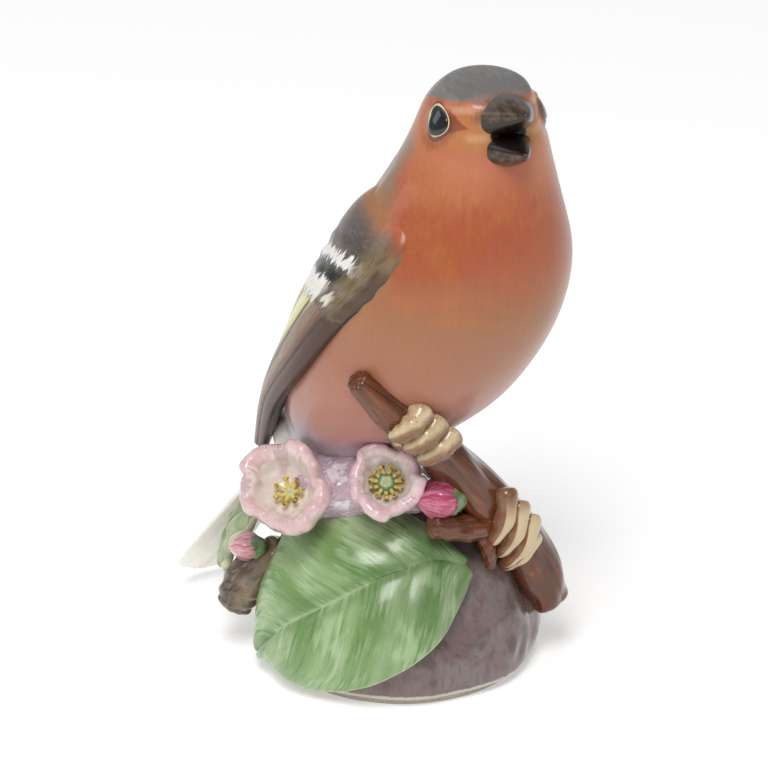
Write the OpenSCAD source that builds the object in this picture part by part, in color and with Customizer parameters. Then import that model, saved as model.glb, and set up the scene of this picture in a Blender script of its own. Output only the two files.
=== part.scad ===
// Glazed porcelain songbird, singing on a blossoming branch above a rocky mound.
// Millimetres, +Z up. The bird's breast faces -Y and its tail +Y, and the origin is the
// centre of the foot ring, on the plane that the figure stands on.

/* [Figure] */
// Scale of the whole figure; 1 is about 65 mm from table to crown
figure_scale = 1; // [0.8:0.05:1.3]
// Wall of the two hollow castings, the bird and the mound
wall = 2.2; // [1.6:0.1:2.6]

/* [Bird] */
// Largest half-width of the trunk
girth = 12; // [11.6:0.1:12.4]
// Half-width of the head
head_r = 6.4; // [6.1:0.1:6.6]
// How far the head is turned to the bird's right
head_turn = 27; // [16:1:30]
// Angle between the two halves of the open beak
beak_gape = 27; // [20:1:32]
// Angle of the lower half of the beak above level
beak_lift = 8; // [2:1:12]
// Radius of each eye
eye_r = 1.45; // [1.2:0.05:1.6]
// Thickness of a folded wing where it leaves the body
wing_thick = 1.5; // [1.2:0.1:2]

/* [Mound] */
// Mean radius of the mound at the table
mound_r = 13.8; // [13.4:0.1:14.2]
// Height of the mound under the bird
mound_h = 19; // [17:0.5:20]
// Radius of the vent hole under the mound
vent_r = 1.75; // [1:0.25:2.5]
// Outer radius of the foot ring that the figure stands on
foot_r = 12.9; // [12:0.1:13.1]
// Width of the foot ring
foot_w = 2.2; // [1.6:0.1:3]
// Height of the foot ring
foot_h = 0.8; // [0.5:0.1:1.2]

/* [Branch] */
// Thickest radius of the branch
branch_r = 2.7; // [2.3:0.1:2.9]
// Radius of a toe at its root
toe_r = 0.95; // [0.8:0.05:1.05]

/* [Hidden] */

ring_n = 28;        // points round a ring of the trunk
lens_n = 20;        // points round a section of a wing or the tail
tube_n = 14;        // points round a branch
thin_n = 10;        // points round a leg, toe or rootlet
mound_n = 40;       // points round a ring of the mound
cap_n = 3;          // rings that close a rounded end
leaf_thick = 1.0;
petal_thick = 0.7;

// ---------- vectors, curves and skins ----------

function unit(v) = v / norm(v);
function mix(a, b, t) = a * (1 - t) + b * t;
function ease(t) = let (c = max(0, min(1, t))) c * c * (3 - 2 * c);
function total(v) = [for (x = v) 1] * v;
function middle(points) = total(points) / len(points);

// Catmull-Rom through a list of stations, u from 0 to 1 over the whole list.
function along(p, u) =
    let (n = len(p) - 1, i = min(floor(u * n), n - 1), f = u * n - i,
         a = p[max(i - 1, 0)], b = p[i], c = p[i + 1], d = p[min(i + 2, n)])
    0.5 * (2 * b + (c - a) * f + (2 * a - 5 * b + 4 * c - d) * f * f + (3 * b - a - 3 * c + d) * f * f * f);
function heading(p, u) = unit(along(p, min(1, u + 0.01)) - along(p, max(0, u - 0.01)));

// A closed solid from its points and triangles, turned right side out.
module solid(points, faces) {
    volume = total([for (f = faces) points[f[0]] * cross(points[f[1]], points[f[2]])]);
    outward = volume > 0 ? [for (f = faces) [f[2], f[1], f[0]]] : faces;
    polyhedron(points, outward, convexity = 8);
}

// Skin over a list of rings with equal numbers of points, each end closed by a fan.
module skin(rings) {
    n = len(rings[0]);
    m = len(rings);
    points = [for (r = rings) each r, middle(rings[0]), middle(rings[m - 1])];
    sides = [for (j = [0 : m - 2], i = [0 : n - 1])
        let (a = j * n + i, b = j * n + (i + 1) % n) each [[a, b, b + n], [a, b + n, a + n]]];
    start = [for (i = [0 : n - 1]) [m * n, (i + 1) % n, i]];
    finish = [for (i = [0 : n - 1]) [m * n + 1, (m - 1) * n + i, (m - 1) * n + (i + 1) % n]];
    solid(points, concat(sides, start, finish));
}

// A thin closed sheet of a given thickness over a grid of points.
module sheet(grid, thick) {
    m = len(grid);
    n = len(grid[0]);
    normals = [for (i = [0 : m - 1]) [for (j = [0 : n - 1])
        unit(cross(grid[min(i + 1, m - 1)][j] - grid[max(i - 1, 0)][j],
                   grid[i][min(j + 1, n - 1)] - grid[i][max(j - 1, 0)]))]];
    points = [for (side = [0.5, -0.5], i = [0 : m - 1], j = [0 : n - 1])
        grid[i][j] + normals[i][j] * thick * side];
    k = m * n;
    top = [for (i = [0 : m - 2], j = [0 : n - 2])
        let (a = i * n + j) each [[a, a + n, a + n + 1], [a, a + n + 1, a + 1]]];
    bottom = [for (f = top) [f[2] + k, f[1] + k, f[0] + k]];
    rim = concat([for (j = [0 : n - 2]) j], [for (i = [0 : m - 2]) i * n + n - 1],
                 [for (j = [n - 1 : -1 : 1]) (m - 1) * n + j], [for (i = [m - 1 : -1 : 1]) i * n]);
    walls = [for (i = [0 : len(rim) - 1])
        let (a = rim[i], b = rim[(i + 1) % len(rim)]) each [[a, b, b + k], [a, b + k, a + k]]];
    solid(points, concat(top, bottom, walls));
}

// A tube along a path of [x, y, z, radius] stations, with rounded ends; gnarl is the depth of its knots.
module tube(path, steps, sides = tube_n, gnarl = 0) {
    first = heading([for (p = path) [p[0], p[1], p[2]]], 0);
    up = abs(first[2]) < 0.8 ? [0, 0, 1] : [1, 0, 0];
    rings = [for (k = [-cap_n + 1 : steps + cap_n - 1])
        let (u = max(0, min(1, k / steps)), s = along(path, u),
             over = k < 0 ? k / cap_n : k > steps ? (k - steps) / cap_n : 0,
             dir = heading([for (p = path) [p[0], p[1], p[2]]], u),
             side = unit(cross(dir, up)), top = cross(side, dir),
             r = s[3] * sqrt(1 - over * over),
             c = [s[0], s[1], s[2]] + dir * s[3] * over * 0.7)
        [for (i = [0 : sides - 1])
            let (a = i * 360 / sides)
            c + (side * cos(a) + top * sin(a)) * r * (1 + gnarl * cos(3 * a + 500 * u) * cos(900 * u))]];
    skin(rings);
}

// Organic solids are merged and trimmed as meshes, because none of their faces is flat or round.
module as_mesh() {
    resize([0, 0, 0]) children();
}

module figure() {
    scale(figure_scale) children();
}

// ---------- bird ----------

// Trunk stations from rump to head: [y, z, half-width, front, back], the last three as shares of the girth.
trunk = [[11.0, 21.6, 0.38, 0.34, 0.32],
         [6.8, 25.2, 0.70, 0.54, 0.56],
         [2.2, 30.6, 0.91, 0.74, 0.76],
         [-2.8, 38.0, 1.00, 0.95, 0.84],
         [-6.3, 46.0, 0.99, 1.02, 0.80],
         [-8.4, 53.0, 0.76, 0.86, 0.64],
         [-9.8, 58.8, head_r / girth, head_r / girth * 1.08, head_r / girth * 1.0]];
head_c = [0, trunk[6][0], trunk[6][1]];
crown = 2.7;        // squareness of the rounded crown and rump
neck_lo = 48;       // the head's turn starts here and is complete at neck_hi
neck_hi = 60;

// Turns a point with the head, by a share that grows up the neck.
function turned(p, share = -1) =
    let (t = share < 0 ? ease((p[2] - neck_lo) / (neck_hi - neck_lo)) : share, a = -head_turn * t,
         x = p[0] - head_c[0], y = p[1] - head_c[1])
    [head_c[0] + x * cos(a) - y * sin(a), head_c[1] + x * sin(a) + y * cos(a), p[2]];

// One ring of the trunk, made smaller all round by inset; over runs from -1 to 1 through the end caps.
function trunk_ring(u, over, inset) =
    let (s = along(trunk, u), lo = along(trunk, max(0, u - 0.01)), hi = along(trunk, min(1, u + 0.01)),
         dir = unit([0, hi[0] - lo[0], hi[1] - lo[1]]), back = [0, dir[2], -dir[1]],
         k = pow(1 - pow(abs(over), crown), 1 / crown), w = s[2] * girth - inset,
         centre = [0, s[0], s[1]] + dir * w * over)
    [for (i = [0 : ring_n - 1])
        let (c = cos(i * 360 / ring_n), q = sin(i * 360 / ring_n),
             depth = (q > 0 ? s[4] : s[3]) * girth - inset)
        turned(centre + [w * c * k, 0, 0] + back * depth * q * k)];

module trunk_form(inset = 0) {
    steps = 18;
    ends = 5;
    skin([for (k = [-ends : steps + ends])
        trunk_ring(max(0, min(1, k / steps)),
                   k < 0 ? sin(90 * k / (ends + 0.6)) : k > steps ? sin(90 * (k - steps) / (ends + 0.6)) : 0,
                   inset)]);
}

// Hollow slip-cast trunk, neck and head.
module body_shell() {
    color("#c98467") figure() as_mesh() difference() {
        trunk_form();
        trunk_form(wall);
        passage();
    }
}

// A direction from the head's centre: side angle to the bird's left of the beak, and angle above level.
function gaze(side, lift) =
    turned(head_c + [sin(side) * cos(lift), -cos(side) * cos(lift), sin(lift)], 1) - head_c;

// Half of the beak, a curved cone from the gape to its tip.
module mandible(lift, length, half_w, half_h, hook) {
    hinge = head_c + gaze(0, beak_lift + beak_gape / 2) * head_r * 0.72;
    dir = gaze(0, lift);
    side = gaze(90, 0);
    up = cross(side, dir);
    steps = 12;
    skin([for (k = [0 : steps])
        let (t = k / steps, taper = sqrt(1 - t * t * 0.97) * (1 - 0.3 * t),
             c = hinge + dir * length * t + up * hook * t * t)
        [for (i = [0 : tube_n - 1])
            let (a = i * 360 / tube_n)
            c + (side * cos(a) * half_w + up * sin(a) * half_h) * taper]]);
}

module upper_beak_form() {
    mandible(beak_lift + beak_gape, 7.0, 3.3, 2.9, -1.2);
}

module upper_beak() {
    color("#4a3a31") figure() as_mesh() difference() {
        upper_beak_form();
        trunk_form();
    }
}

module lower_beak() {
    color("#4a3a31") figure() as_mesh() difference() {
        mandible(beak_lift, 6.2, 2.9, 2.3, 0.6);
        trunk_form();
        upper_beak_form();
    }
}

// Domed glass-black eye on one side of the head.
module eye(side) {
    dir = gaze(side * 64, 28);
    figure() as_mesh() difference() {
        translate(head_c + dir * (head_r - 0.1 * eye_r)) sphere(r = eye_r, $fn = 20);
        trunk_form();
    }
}

module right_eye() { color("#17181c") eye(-1); }
module left_eye() { color("#17181c") eye(1); }

// Folded left wing: the front and back edges of the shield, from the shoulder to the tip.
wing_front = [[8.0, -7.0, 54.3], [10.9, -9.4, 50.5], [12.1, -7.4, 45.5], [12.5, -2.6, 40.3],
              [11.6, 2.6, 33.8], [8.8, 9.0, 27.2], [4.0, 15.4, 18.7]];
wing_back = [[4.4, -3.6, 54.6], [4.0, 1.2, 50.8], [3.9, 4.4, 45.8], [3.7, 7.7, 39.6],
             [3.3, 10.6, 33], [2.8, 13.8, 26], [2.2, 16.4, 19.6]];

module wing_form() {
    steps = 20;
    skin([for (k = [0 : steps])
        let (u = k / steps, f = along(wing_front, u), b = along(wing_back, u),
             mid = (f + b) / 2, half = (f - b) / 2,
             dir = heading([for (i = [0 : 6]) (wing_front[i] + wing_back[i]) / 2], u),
             flat = cross(dir, unit(half)), out = unit(flat[0] < 0 ? -flat : flat),
             swell = norm(half) * 0.22 + wing_thick * (1 - 0.25 * u), sink = 3.2 * (1 - u) + 0.6)
        [for (i = [0 : lens_n - 1])
            let (c = cos(i * 360 / lens_n), s = sin(i * 360 / lens_n))
            mid + half * c + out * s * (s > 0 ? swell : sink)]]);
}

module left_wing() {
    color("#5b4a3e") figure() as_mesh() difference() {
        wing_form();
        trunk_form();
    }
}

module right_wing() {
    color("#5b4a3e") figure() as_mesh() difference() {
        mirror([1, 0, 0]) wing_form();
        trunk_form();
    }
}

// Tail: [y, z, half-width, thickness] from the rump to the tip, swung a little to the bird's right.
tail_line = [[10.5, 22.5, 3.6, 3.0], [15.0, 17.2, 4.0, 2.6], [19.5, 11.6, 4.2, 2.0],
             [23.8, 5.8, 4.0, 1.5], [27.2, 2.6, 2.4, 1.1]];
tail_swing = 8;
tail_roll = 28;     // the underside turns towards the bird's right

module tail_form() {
    steps = 12;
    root = [0, tail_line[0][0], 0];
    translate(root) rotate(tail_swing) translate(-root) skin([for (k = [0 : steps])
        let (u = k / steps, s = along(tail_line, u),
             dir = heading([for (p = tail_line) [0, p[0], p[1]]], u), up = [0, dir[2], -dir[1]],
             turn = tail_roll * u, wide = [cos(turn), 0, 0] + up * sin(turn),
             high = up * cos(turn) - [sin(turn), 0, 0])
        [for (i = [0 : lens_n - 1])
            let (c = cos(i * 360 / lens_n), q = sin(i * 360 / lens_n))
            [0, s[0], s[1]] + wide * s[2] * c + high * q * s[3] / 2 * (1 - 0.3 * abs(c))]]);
}

module tail() {
    color("#e9e4da") figure() as_mesh() difference() {
        tail_form();
        trunk_form();
    }
}

// ---------- mound ----------

// Plan of the mound: its radius at an angle and height, as a share of the mean radius.
function plan(angle, u) =
    1 + 0.012 * cos(3 * angle + 220) + 0.016 * u * cos(5 * angle + 130 * u) + 0.01 * cos(8 * angle);

// Mound stations from the table up: [height share, x, y, radius share].
dome = [[0, 0, 0, 1.0], [0.12, 0, 0, 1.03], [0.30, 0.1, 0.1, 1.02], [0.50, 0.2, 0.4, 0.93],
        [0.70, 0.3, 1.0, 0.78], [0.86, 0.2, 1.8, 0.57], [0.96, 0, 2.4, 0.34], [1.0, 0, 2.6, 0.12]];

function mound_point(angle, u, inset = 0) =
    let (s = along(dome, u), r = max(0.4, mound_r * s[3] * plan(angle, u) - inset))
    [s[1] + r * cos(angle), s[2] + r * sin(angle), mix(foot_h, mound_h, s[0])];

module mound_form(inset = 0) {
    steps = 12;
    skin([for (k = [0 : steps]) [for (i = [0 : mound_n - 1])
        mound_point(i * 360 / mound_n, k / steps, inset)]]);
}

// Passage that joins the hollow of the bird to the hollow of the mound, so that both can breathe.
module passage() {
    translate([0, 4, mound_h - 2 * wall]) cylinder(r = 1.4, h = 14, $fn = 32);
}

// Hollow slip-cast rock with a flat floor and a vent hole, standing on its foot ring.
module mound_shell() {
    color("#8d7f86") figure() as_mesh() difference() {
        mound_form();
        trunk_form();
        difference() {
            translate([0, 0, -wall]) mound_form(wall);
            translate([0, 0, foot_h + wall - 50]) cube(100, center = true);
        }
        cylinder(r = vent_r, h = 3 * wall + foot_h, $fn = 48);
        passage();
    }
}

// Unglazed ring under the rock, the only part that touches the table.
module foot_ring() {
    color("#cfc6ba") figure() difference() {
        cylinder(r = foot_r, h = foot_h, $fn = 128);
        translate([0, 0, -1]) cylinder(r = foot_r - foot_w, h = foot_h + 2, $fn = 128);
    }
}

// Everything that the sprigs are trimmed against.
module bodies() {
    trunk_form();
    mound_form();
}

// ---------- branch ----------

// Main branch from its sawn end up to its tip: [x, y, z, radius].
branch_path = [[8.0, -12.8, 6.4, 2.1], [7.0, -12.3, 9.6, 2.5], [4.8, -11.4, 14.0, branch_r],
               [2.0, -10.8, 18.0, branch_r], [-1.4, -9.8, 22.2, 2.3], [-5.0, -8.2, 27.2, 1.9],
               [-9.0, -6.4, 31.6, 1.8], [-12.4, -4.8, 35.6, 1.2]];
side_path = [[2.0, -11.5, 17.4, 1.7], [-2.0, -10.6, 17.6, 1.5], [-5.8, -8.9, 18.7, 1.2]];
root_path = [[-0.8, -11.2, 16.8, 0.9], [-0.8, -12.0, 15.2, 0.8], [-0.4, -12.0, 13.2, 0.6]];
stub_path = [[-8.0, 9.0, 10.5, 2.4], [-10.6, 11.2, 8.2, 2.4], [-12.0, 12.4, 5.4, 1.9]];

module main_tube() {
    tube(branch_path, 24, gnarl = 0.08);
}

module side_tube() {
    tube(side_path, 8, gnarl = 0.08);
}

module main_branch() {
    color("#7d4f34") figure() as_mesh() difference() {
        main_tube();
        bodies();
    }
}

module side_branch() {
    color("#7d4f34") figure() as_mesh() difference() {
        side_tube();
        bodies();
        main_tube();
    }
}

module rootlet() {
    color("#6d4631") figure() as_mesh() difference() {
        tube(root_path, 6, thin_n);
        bodies();
        main_tube();
        side_tube();
    }
}

module cut_stub() {
    color("#6d4631") figure() as_mesh() difference() {
        tube(stub_path, 6);
        bodies();
    }
}

// ---------- legs and toes ----------

right_shank = [[-3.8, -3.2, 26.0, 1.3], [-4.2, -5.2, 26.2, 1.1], [-4.6, -6.8, 26.6, 1.0]];
left_shank = [[2.4, -3.6, 23.2, 1.2], [3.8, -7.0, 19.0, 1.0], [5.4, -9.2, 15.8, 0.9]];

module right_leg() {
    color("#b9975f") figure() as_mesh() difference() {
        tube(right_shank, 4, thin_n);
        bodies();
        main_tube();
    }
}

module left_leg() {
    color("#b9975f") figure() as_mesh() difference() {
        tube(left_shank, 6, thin_n);
        bodies();
        main_tube();
    }
}

// Path of a toe that grips the branch: at is its place along the branch, from and to are angles
// round it (0 is the flank away from the bird, 90 the top), lean carries it along the branch.
function grip(at, from, to, lean, thick) =
    let (axis = [for (p = branch_path) [p[0], p[1], p[2]]])
    [for (k = [0 : 4])
        let (t = k / 4, u = at + lean * t, s = along(branch_path, u), dir = heading(axis, u),
             face = unit(flank - dir * (flank * dir)), top = cross(face, dir), a = mix(from, to, t),
             r = s[3] + thick * 0.55)
        each [concat([s[0], s[1], s[2]] + (face * cos(a) + top * sin(a)) * r, thick * (1 - 0.45 * t * t))]];
flank = unit([-0.7, -0.6, 0.2]);

module toes(places, from, to, lean, thick) {
    color("#d9c193") figure() as_mesh() difference() {
        union() for (at = places) tube(grip(at, from, to, lean, thick), 8, thin_n);
        bodies();
        main_tube();
    }
}

module right_front_toes() { toes([0.72, 0.77, 0.82], 76, -45, -0.02, toe_r); }
module right_hind_toe() { toes([0.73], 120, 215, -0.02, toe_r * 0.9); }
module left_front_toes() { toes([0.31, 0.36, 0.41], 95, -55, -0.07, toe_r * 0.85); }
module left_hind_toe() { toes([0.34], 125, 225, 0.02, toe_r * 0.85); }

// ---------- leaves ----------

// A point over the mound at an angle and height, raised off the surface by lift.
function on_mound(angle, z, lift) =
    let (u = lookup((z - foot_h) / (mound_h - foot_h), [for (i = [0 : 7]) [dome[i][0], i / 7]]),
         across = mound_point(angle + 2, u) - mound_point(angle - 2, u),
         upward = mound_point(angle, min(1, u + 0.02)) - mound_point(angle, max(0, u - 0.02)))
    mound_point(angle, u) + unit(cross(across, upward)) * lift;

// Front leaf from stalk to tip: [angle, height] along its upper edge, midrib and lower edge.
leaf_upper = [[261, 13.6], [248, 16.4], [222, 17.4], [182, 17.2], [154, 15.4], [145, 10.5], [150, 2.8]];
leaf_rib = [[261, 13.2], [241, 13.9], [217, 13.0], [198, 11.2], [180, 8.6], [164, 5.4], [151, 2.4]];
leaf_lower = [[261, 12.8], [250, 10.6], [238, 8.0], [221, 5.2], [202, 2.9], [180, 1.7], [152, 1.9]];

function leaf_point(u, v) =
    let (rib = along(leaf_rib, u), edge = along(v > 0 ? leaf_upper : leaf_lower, u),
         at = mix(rib, edge, abs(v)), belly = 4 * abs(v) * (1 - abs(v)),
         puff = 0.25 * cos(360 * (5 * u + 1.2 * abs(v))))
    on_mound(at[0], at[1], 0.8 + 0.5 * sin(180 * u) + (0.45 + puff) * belly - 0.5 * abs(v) * abs(v));

module front_leaf() {
    color("#5f9a4e") figure() as_mesh() difference() {
        sheet([for (i = [0 : 18]) [for (j = [-5 : 5]) leaf_point(i / 18, j / 5)]], leaf_thick);
        bodies();
    }
}

// A free-standing leaf: midrib points, the way that it faces, and its greatest half-width.
module blade(rib, facing, half) {
    m = 10;
    sheet([for (i = [0 : m])
        let (u = i / m, dir = heading(rib, u), side = unit(cross(dir, facing)), out = cross(side, dir),
             w = half * (0.12 + 0.88 * pow(sin(180 * pow(0.04 + 0.9 * u, 0.8)), 0.8)))
        [for (j = [-3 : 3])
            let (v = j / 3, wave = 0.25 * cos(360 * (3 * u + abs(v))) - 0.12 * w * v * v)
            along(rib, u) + side * w * v + out * wave]],
        leaf_thick);
}

rear_left_rib = [[-4.4, 10.6, 16.4], [-6.8, 13.2, 15.0], [-8.8, 15.2, 11.8], [-9.8, 15.8, 7.8]];
rear_right_rib = [[9.2, -1.4, 16.0], [12.2, -3.0, 12.8], [14.0, -5.3, 8.4], [13.6, -7.6, 3.8]];

module rear_left_leaf() {
    color("#4f8b45") figure() as_mesh() difference() {
        blade(rear_left_rib, [-0.6, 0.7, 0.3], 3.6);
        bodies();
        tail_form();
        tube(stub_path, 6);
    }
}

module rear_right_leaf() {
    color("#3f7439") figure() as_mesh() difference() {
        blade(rear_right_rib, [0.9, -0.3, 0.4], 3.2);
        bodies();
        main_tube();
    }
}

// ---------- blossoms and buds ----------

bed_path = [[-3.4, -5.0, 20.0, 2.0], [-5.2, -1.5, 20.6, 3.0], [-6.8, 2.8, 19.8, 3.5],
            [-8.0, 7.0, 17.8, 3.2], [-7.6, 10.4, 15.6, 2.0]];
right_at = [-7.4, -3.9, 22.2];
right_axis = unit([-0.70, -0.58, 0.50]);
left_at = [-10.2, 4.6, 19.0];
left_axis = unit([-0.80, -0.10, 0.64]);

module bed_form() {
    tube(bed_path, 10, 16);
}

module blossom_bed() {
    color("#b9a9bd") figure() as_mesh() difference() {
        bed_form();
        bodies();
        main_tube();
    }
}

// Builds its children about an axis through a point, with the axis as their own +Z.
module facing(at, axis, spin = 0) {
    translate(at) rotate([0, acos(axis[2]), atan2(axis[1], axis[0])]) rotate(spin) children();
}

// Five cupped petals, each lapping over the next, on a solid heart.
module petals(radius, cup) {
    m = 5;
    for (k = [0 : 4])
        sheet([for (i = [0 : m])
            let (u = 0.08 + 0.92 * i / m)
            [for (j = [-3 : 3])
                let (v = j / 3, a = 72 * k + 46 * v * pow(u, 0.35), r = radius * u * (1 - 0.16 * v * v * u))
                [r * cos(a), r * sin(a),
                 cup * pow(u, 1.6) - 0.9 * pow(u, 6) + 0.3 * v * u + 0.12 * cos(540 * v) * u * u]]],
            petal_thick);
    scale([1, 1, 0.6]) sphere(r = radius * 0.36, $fn = 16);
}

// A ring of anthers on short filaments.
module stamens(count, reach, rise) {
    for (k = [0 : count - 1]) rotate(k * 360 / count) {
        translate([0.4, 0, 0]) rotate([0, atan2(reach - 0.4, rise), 0])
            cylinder(r1 = 0.26, r2 = 0.18, h = norm([reach - 0.4, rise]), $fn = 6);
        translate([reach, 0, rise]) sphere(r = 0.32, $fn = 6);
    }
}

module pistil_form(radius) {
    scale([1, 1, 1.25]) translate([0, 0, 0.2]) sphere(r = radius, $fn = 16);
}

// Everything behind a blossom that it is trimmed against.
module behind_blossom() {
    trunk_form();
    main_tube();
}

module right_blossom() {
    color("#eecfd2") figure() as_mesh() difference() {
        facing(right_at, right_axis, 20) petals(3.9, 1.7);
        behind_blossom();
        facing(right_at, right_axis) pistil_form(1.1);
    }
}

module right_pistil() {
    color("#6f9f55") figure() as_mesh() facing(right_at, right_axis) pistil_form(1.1);
}

module right_stamens() {
    color("#e3c44c") figure() as_mesh() difference() {
        facing(right_at, right_axis) stamens(10, 1.75, 1.25);
        facing(right_at, right_axis) pistil_form(1.1);
        facing(right_at, right_axis, 20) petals(3.9, 1.7);
    }
}

module left_blossom() {
    color("#eecfd2") figure() as_mesh() difference() {
        facing(left_at, left_axis, 50) petals(5.0, 3.0);
        behind_blossom();
        facing(left_at, left_axis) pistil_form(0.9);
    }
}

module left_pistil() {
    color("#d8d79a") figure() as_mesh() facing(left_at, left_axis) pistil_form(0.9);
}

module left_stamens() {
    color("#e3c44c") figure() as_mesh() difference() {
        facing(left_at, left_axis) stamens(10, 1.6, 1.5);
        facing(left_at, left_axis) pistil_form(0.9);
        facing(left_at, left_axis, 50) petals(5.0, 3.0);
    }
}

// A closed bud of three wrapped petals, pointing along its own +Z.
module bud_form(length, radius) {
    skin([for (k = [0 : 10])
        let (t = k / 10, r = radius * pow(sin(180 * (0.04 + 0.93 * pow(t, 0.85))), 0.7))
        [for (i = [0 : 17])
            let (a = i * 20, fold = 1 + 0.09 * cos(3 * a - 150 * t))
            [r * fold * cos(a), r * fold * sin(a), length * t]]]);
}

// The green cup at the foot of a bud, its rim cut into five points.
module calyx_form(length, radius) {
    skin([for (k = [0 : 6])
        let (t = k / 6)
        [for (i = [0 : 19])
            let (a = i * 18, reach = 1 + 0.35 * cos(5 * a) * t, r = radius * (0.35 + 0.65 * pow(t, 0.6)))
            [r * cos(a), r * sin(a), length * (t * reach - 0.35)]]]);
}

right_bud_at = [-2.4, -10.6, 20.6];
right_bud_axis = unit([-0.70, 0.55, 0.05]);
left_bud_at = [-10.6, 9.6, 12.2];
left_bud_axis = unit([-0.45, 0.80, -0.10]);

module right_bud_form() {
    facing(right_bud_at, right_bud_axis) bud_form(4.4, 2.2);
}

module left_bud_form() {
    facing(left_bud_at, left_bud_axis) bud_form(3.4, 1.5);
}

module right_bud() {
    color("#c94f77") figure() as_mesh() difference() {
        right_bud_form();
        bodies();
        main_tube();
    }
}

module right_bud_calyx() {
    color("#7fa882") figure() as_mesh() difference() {
        facing(right_bud_at, right_bud_axis) calyx_form(2.0, 1.9);
        right_bud_form();
        bodies();
        main_tube();
    }
}

module left_bud() {
    color("#cf6a88") figure() as_mesh() difference() {
        left_bud_form();
        bodies();
    }
}

module left_bud_calyx() {
    color("#7fa882") figure() as_mesh() difference() {
        facing(left_bud_at, left_bud_axis) calyx_form(1.5, 1.35);
        left_bud_form();
        bodies();
    }
}

body_shell();
upper_beak();
lower_beak();
right_eye();
left_eye();
right_wing();
left_wing();
tail();
right_leg();
left_leg();
right_front_toes();
right_hind_toe();
left_front_toes();
left_hind_toe();
mound_shell();
foot_ring();
main_branch();
side_branch();
rootlet();
cut_stub();
front_leaf();
rear_left_leaf();
rear_right_leaf();
blossom_bed();
right_blossom();
right_stamens();
right_pistil();
left_blossom();
left_stamens();
left_pistil();
right_bud();
right_bud_calyx();
left_bud();
left_bud_calyx();
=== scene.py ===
"""Hand-painted porcelain songbird, singing on a blossoming branch above a rocky mound."""
import logging
import math
from dataclasses import dataclass
from enum import Enum
from typing import Callable, Optional, Sequence, Union

import bmesh
import bpy
from mathutils import Matrix, Vector, noise


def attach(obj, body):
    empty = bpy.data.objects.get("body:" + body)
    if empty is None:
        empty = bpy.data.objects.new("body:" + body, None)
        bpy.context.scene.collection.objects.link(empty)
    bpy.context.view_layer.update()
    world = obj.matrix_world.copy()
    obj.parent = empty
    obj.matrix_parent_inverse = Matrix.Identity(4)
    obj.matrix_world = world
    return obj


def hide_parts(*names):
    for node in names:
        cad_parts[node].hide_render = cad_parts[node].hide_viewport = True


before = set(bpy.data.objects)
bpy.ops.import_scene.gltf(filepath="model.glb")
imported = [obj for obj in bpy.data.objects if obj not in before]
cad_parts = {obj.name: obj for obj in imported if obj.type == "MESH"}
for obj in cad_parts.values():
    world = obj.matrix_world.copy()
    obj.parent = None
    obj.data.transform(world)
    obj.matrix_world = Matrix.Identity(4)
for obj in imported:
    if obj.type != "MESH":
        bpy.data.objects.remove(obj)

LOG = logging.getLogger("songbird")
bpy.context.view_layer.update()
MM = 0.001          # shapes are worked out in millimetres and put down in metres
LIE = "lie"         # attribute of a lofted piece: cosine and sine round it, and its place along it


# ---------- small sums ----------

def mix(a: float, b: float, t: float) -> float:
    """Value between a and b at share t."""
    return a + (b - a) * t


def ease(t: float) -> float:
    """Smooth step from 0 to 1 as t runs from 0 to 1."""
    t = min(1.0, max(0.0, t))
    return t * t * (3 - 2 * t)


def sin_deg(angle: float) -> float:
    """Sine of an angle in degrees."""
    return math.sin(math.radians(angle))


def cos_deg(angle: float) -> float:
    """Cosine of an angle in degrees."""
    return math.cos(math.radians(angle))


def bearing(side: float, lift: float) -> Vector:
    """Unit direction, so many degrees from straight ahead to the bird's left and above level."""
    return Vector((sin_deg(side) * cos_deg(lift), -cos_deg(side) * cos_deg(lift), sin_deg(lift)))


def along(stations: Sequence[Sequence[float]], u: float) -> list[float]:
    """Smooth curve through a list of stations.

    Args:
        stations: The stations, each a list of numbers.
        u: Place along the whole list, from 0 to 1.

    Returns:
        The numbers at that place.
    """
    last = len(stations) - 1
    i = min(int(u * last), last - 1)
    f = u * last - i
    a, b, c, d = (stations[max(i - 1, 0)], stations[i], stations[i + 1], stations[min(i + 2, last)])
    return [0.5 * (2 * q + (r - p) * f + (2 * p - 5 * q + 4 * r - s) * f * f
                   + (3 * q - p - 3 * r + s) * f ** 3) for p, q, r, s in zip(a, b, c, d)]


def heading(stations: Sequence[Sequence[float]], u: float) -> Vector:
    """Unit direction of the curve through the first three numbers of each station."""
    ahead = Vector(along(stations, min(1.0, u + 0.01))[:3])
    behind = Vector(along(stations, max(0.0, u - 0.01))[:3])
    return (ahead - behind).normalized()


def roughen(point: Vector, scale: float, seed: float = 0.0) -> float:
    """Soft noise from about -1 to 1 at a point in millimetres, with its grain scale in millimetres."""
    return noise.noise(Vector((point.x / scale + seed, point.y / scale - seed, point.z / scale)))


# ---------- modelling by hand ----------

Shape = Callable[[float, float], Vector]


def clear_selection() -> None:
    """Leave nothing selected, so that an operator acts on the new piece alone."""
    if bpy.context.object and bpy.context.object.mode != "OBJECT":
        bpy.ops.object.mode_set(mode="OBJECT")
    bpy.ops.object.select_all(action="DESELECT")


def take(piece: bpy.types.Object) -> None:
    """Make one piece the only selected and active one."""
    clear_selection()
    piece.select_set(True)
    bpy.context.view_layer.objects.active = piece


def to_size(piece: bpy.types.Object) -> None:
    """Bring a piece worked out in millimetres down to metres, about the figure's origin."""
    take(piece)
    bpy.ops.object.mode_set(mode="EDIT")
    bpy.ops.mesh.select_all(action="SELECT")
    bpy.ops.transform.resize(value=(MM, MM, MM), center_override=(0, 0, 0))
    bpy.ops.object.mode_set(mode="OBJECT")


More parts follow.
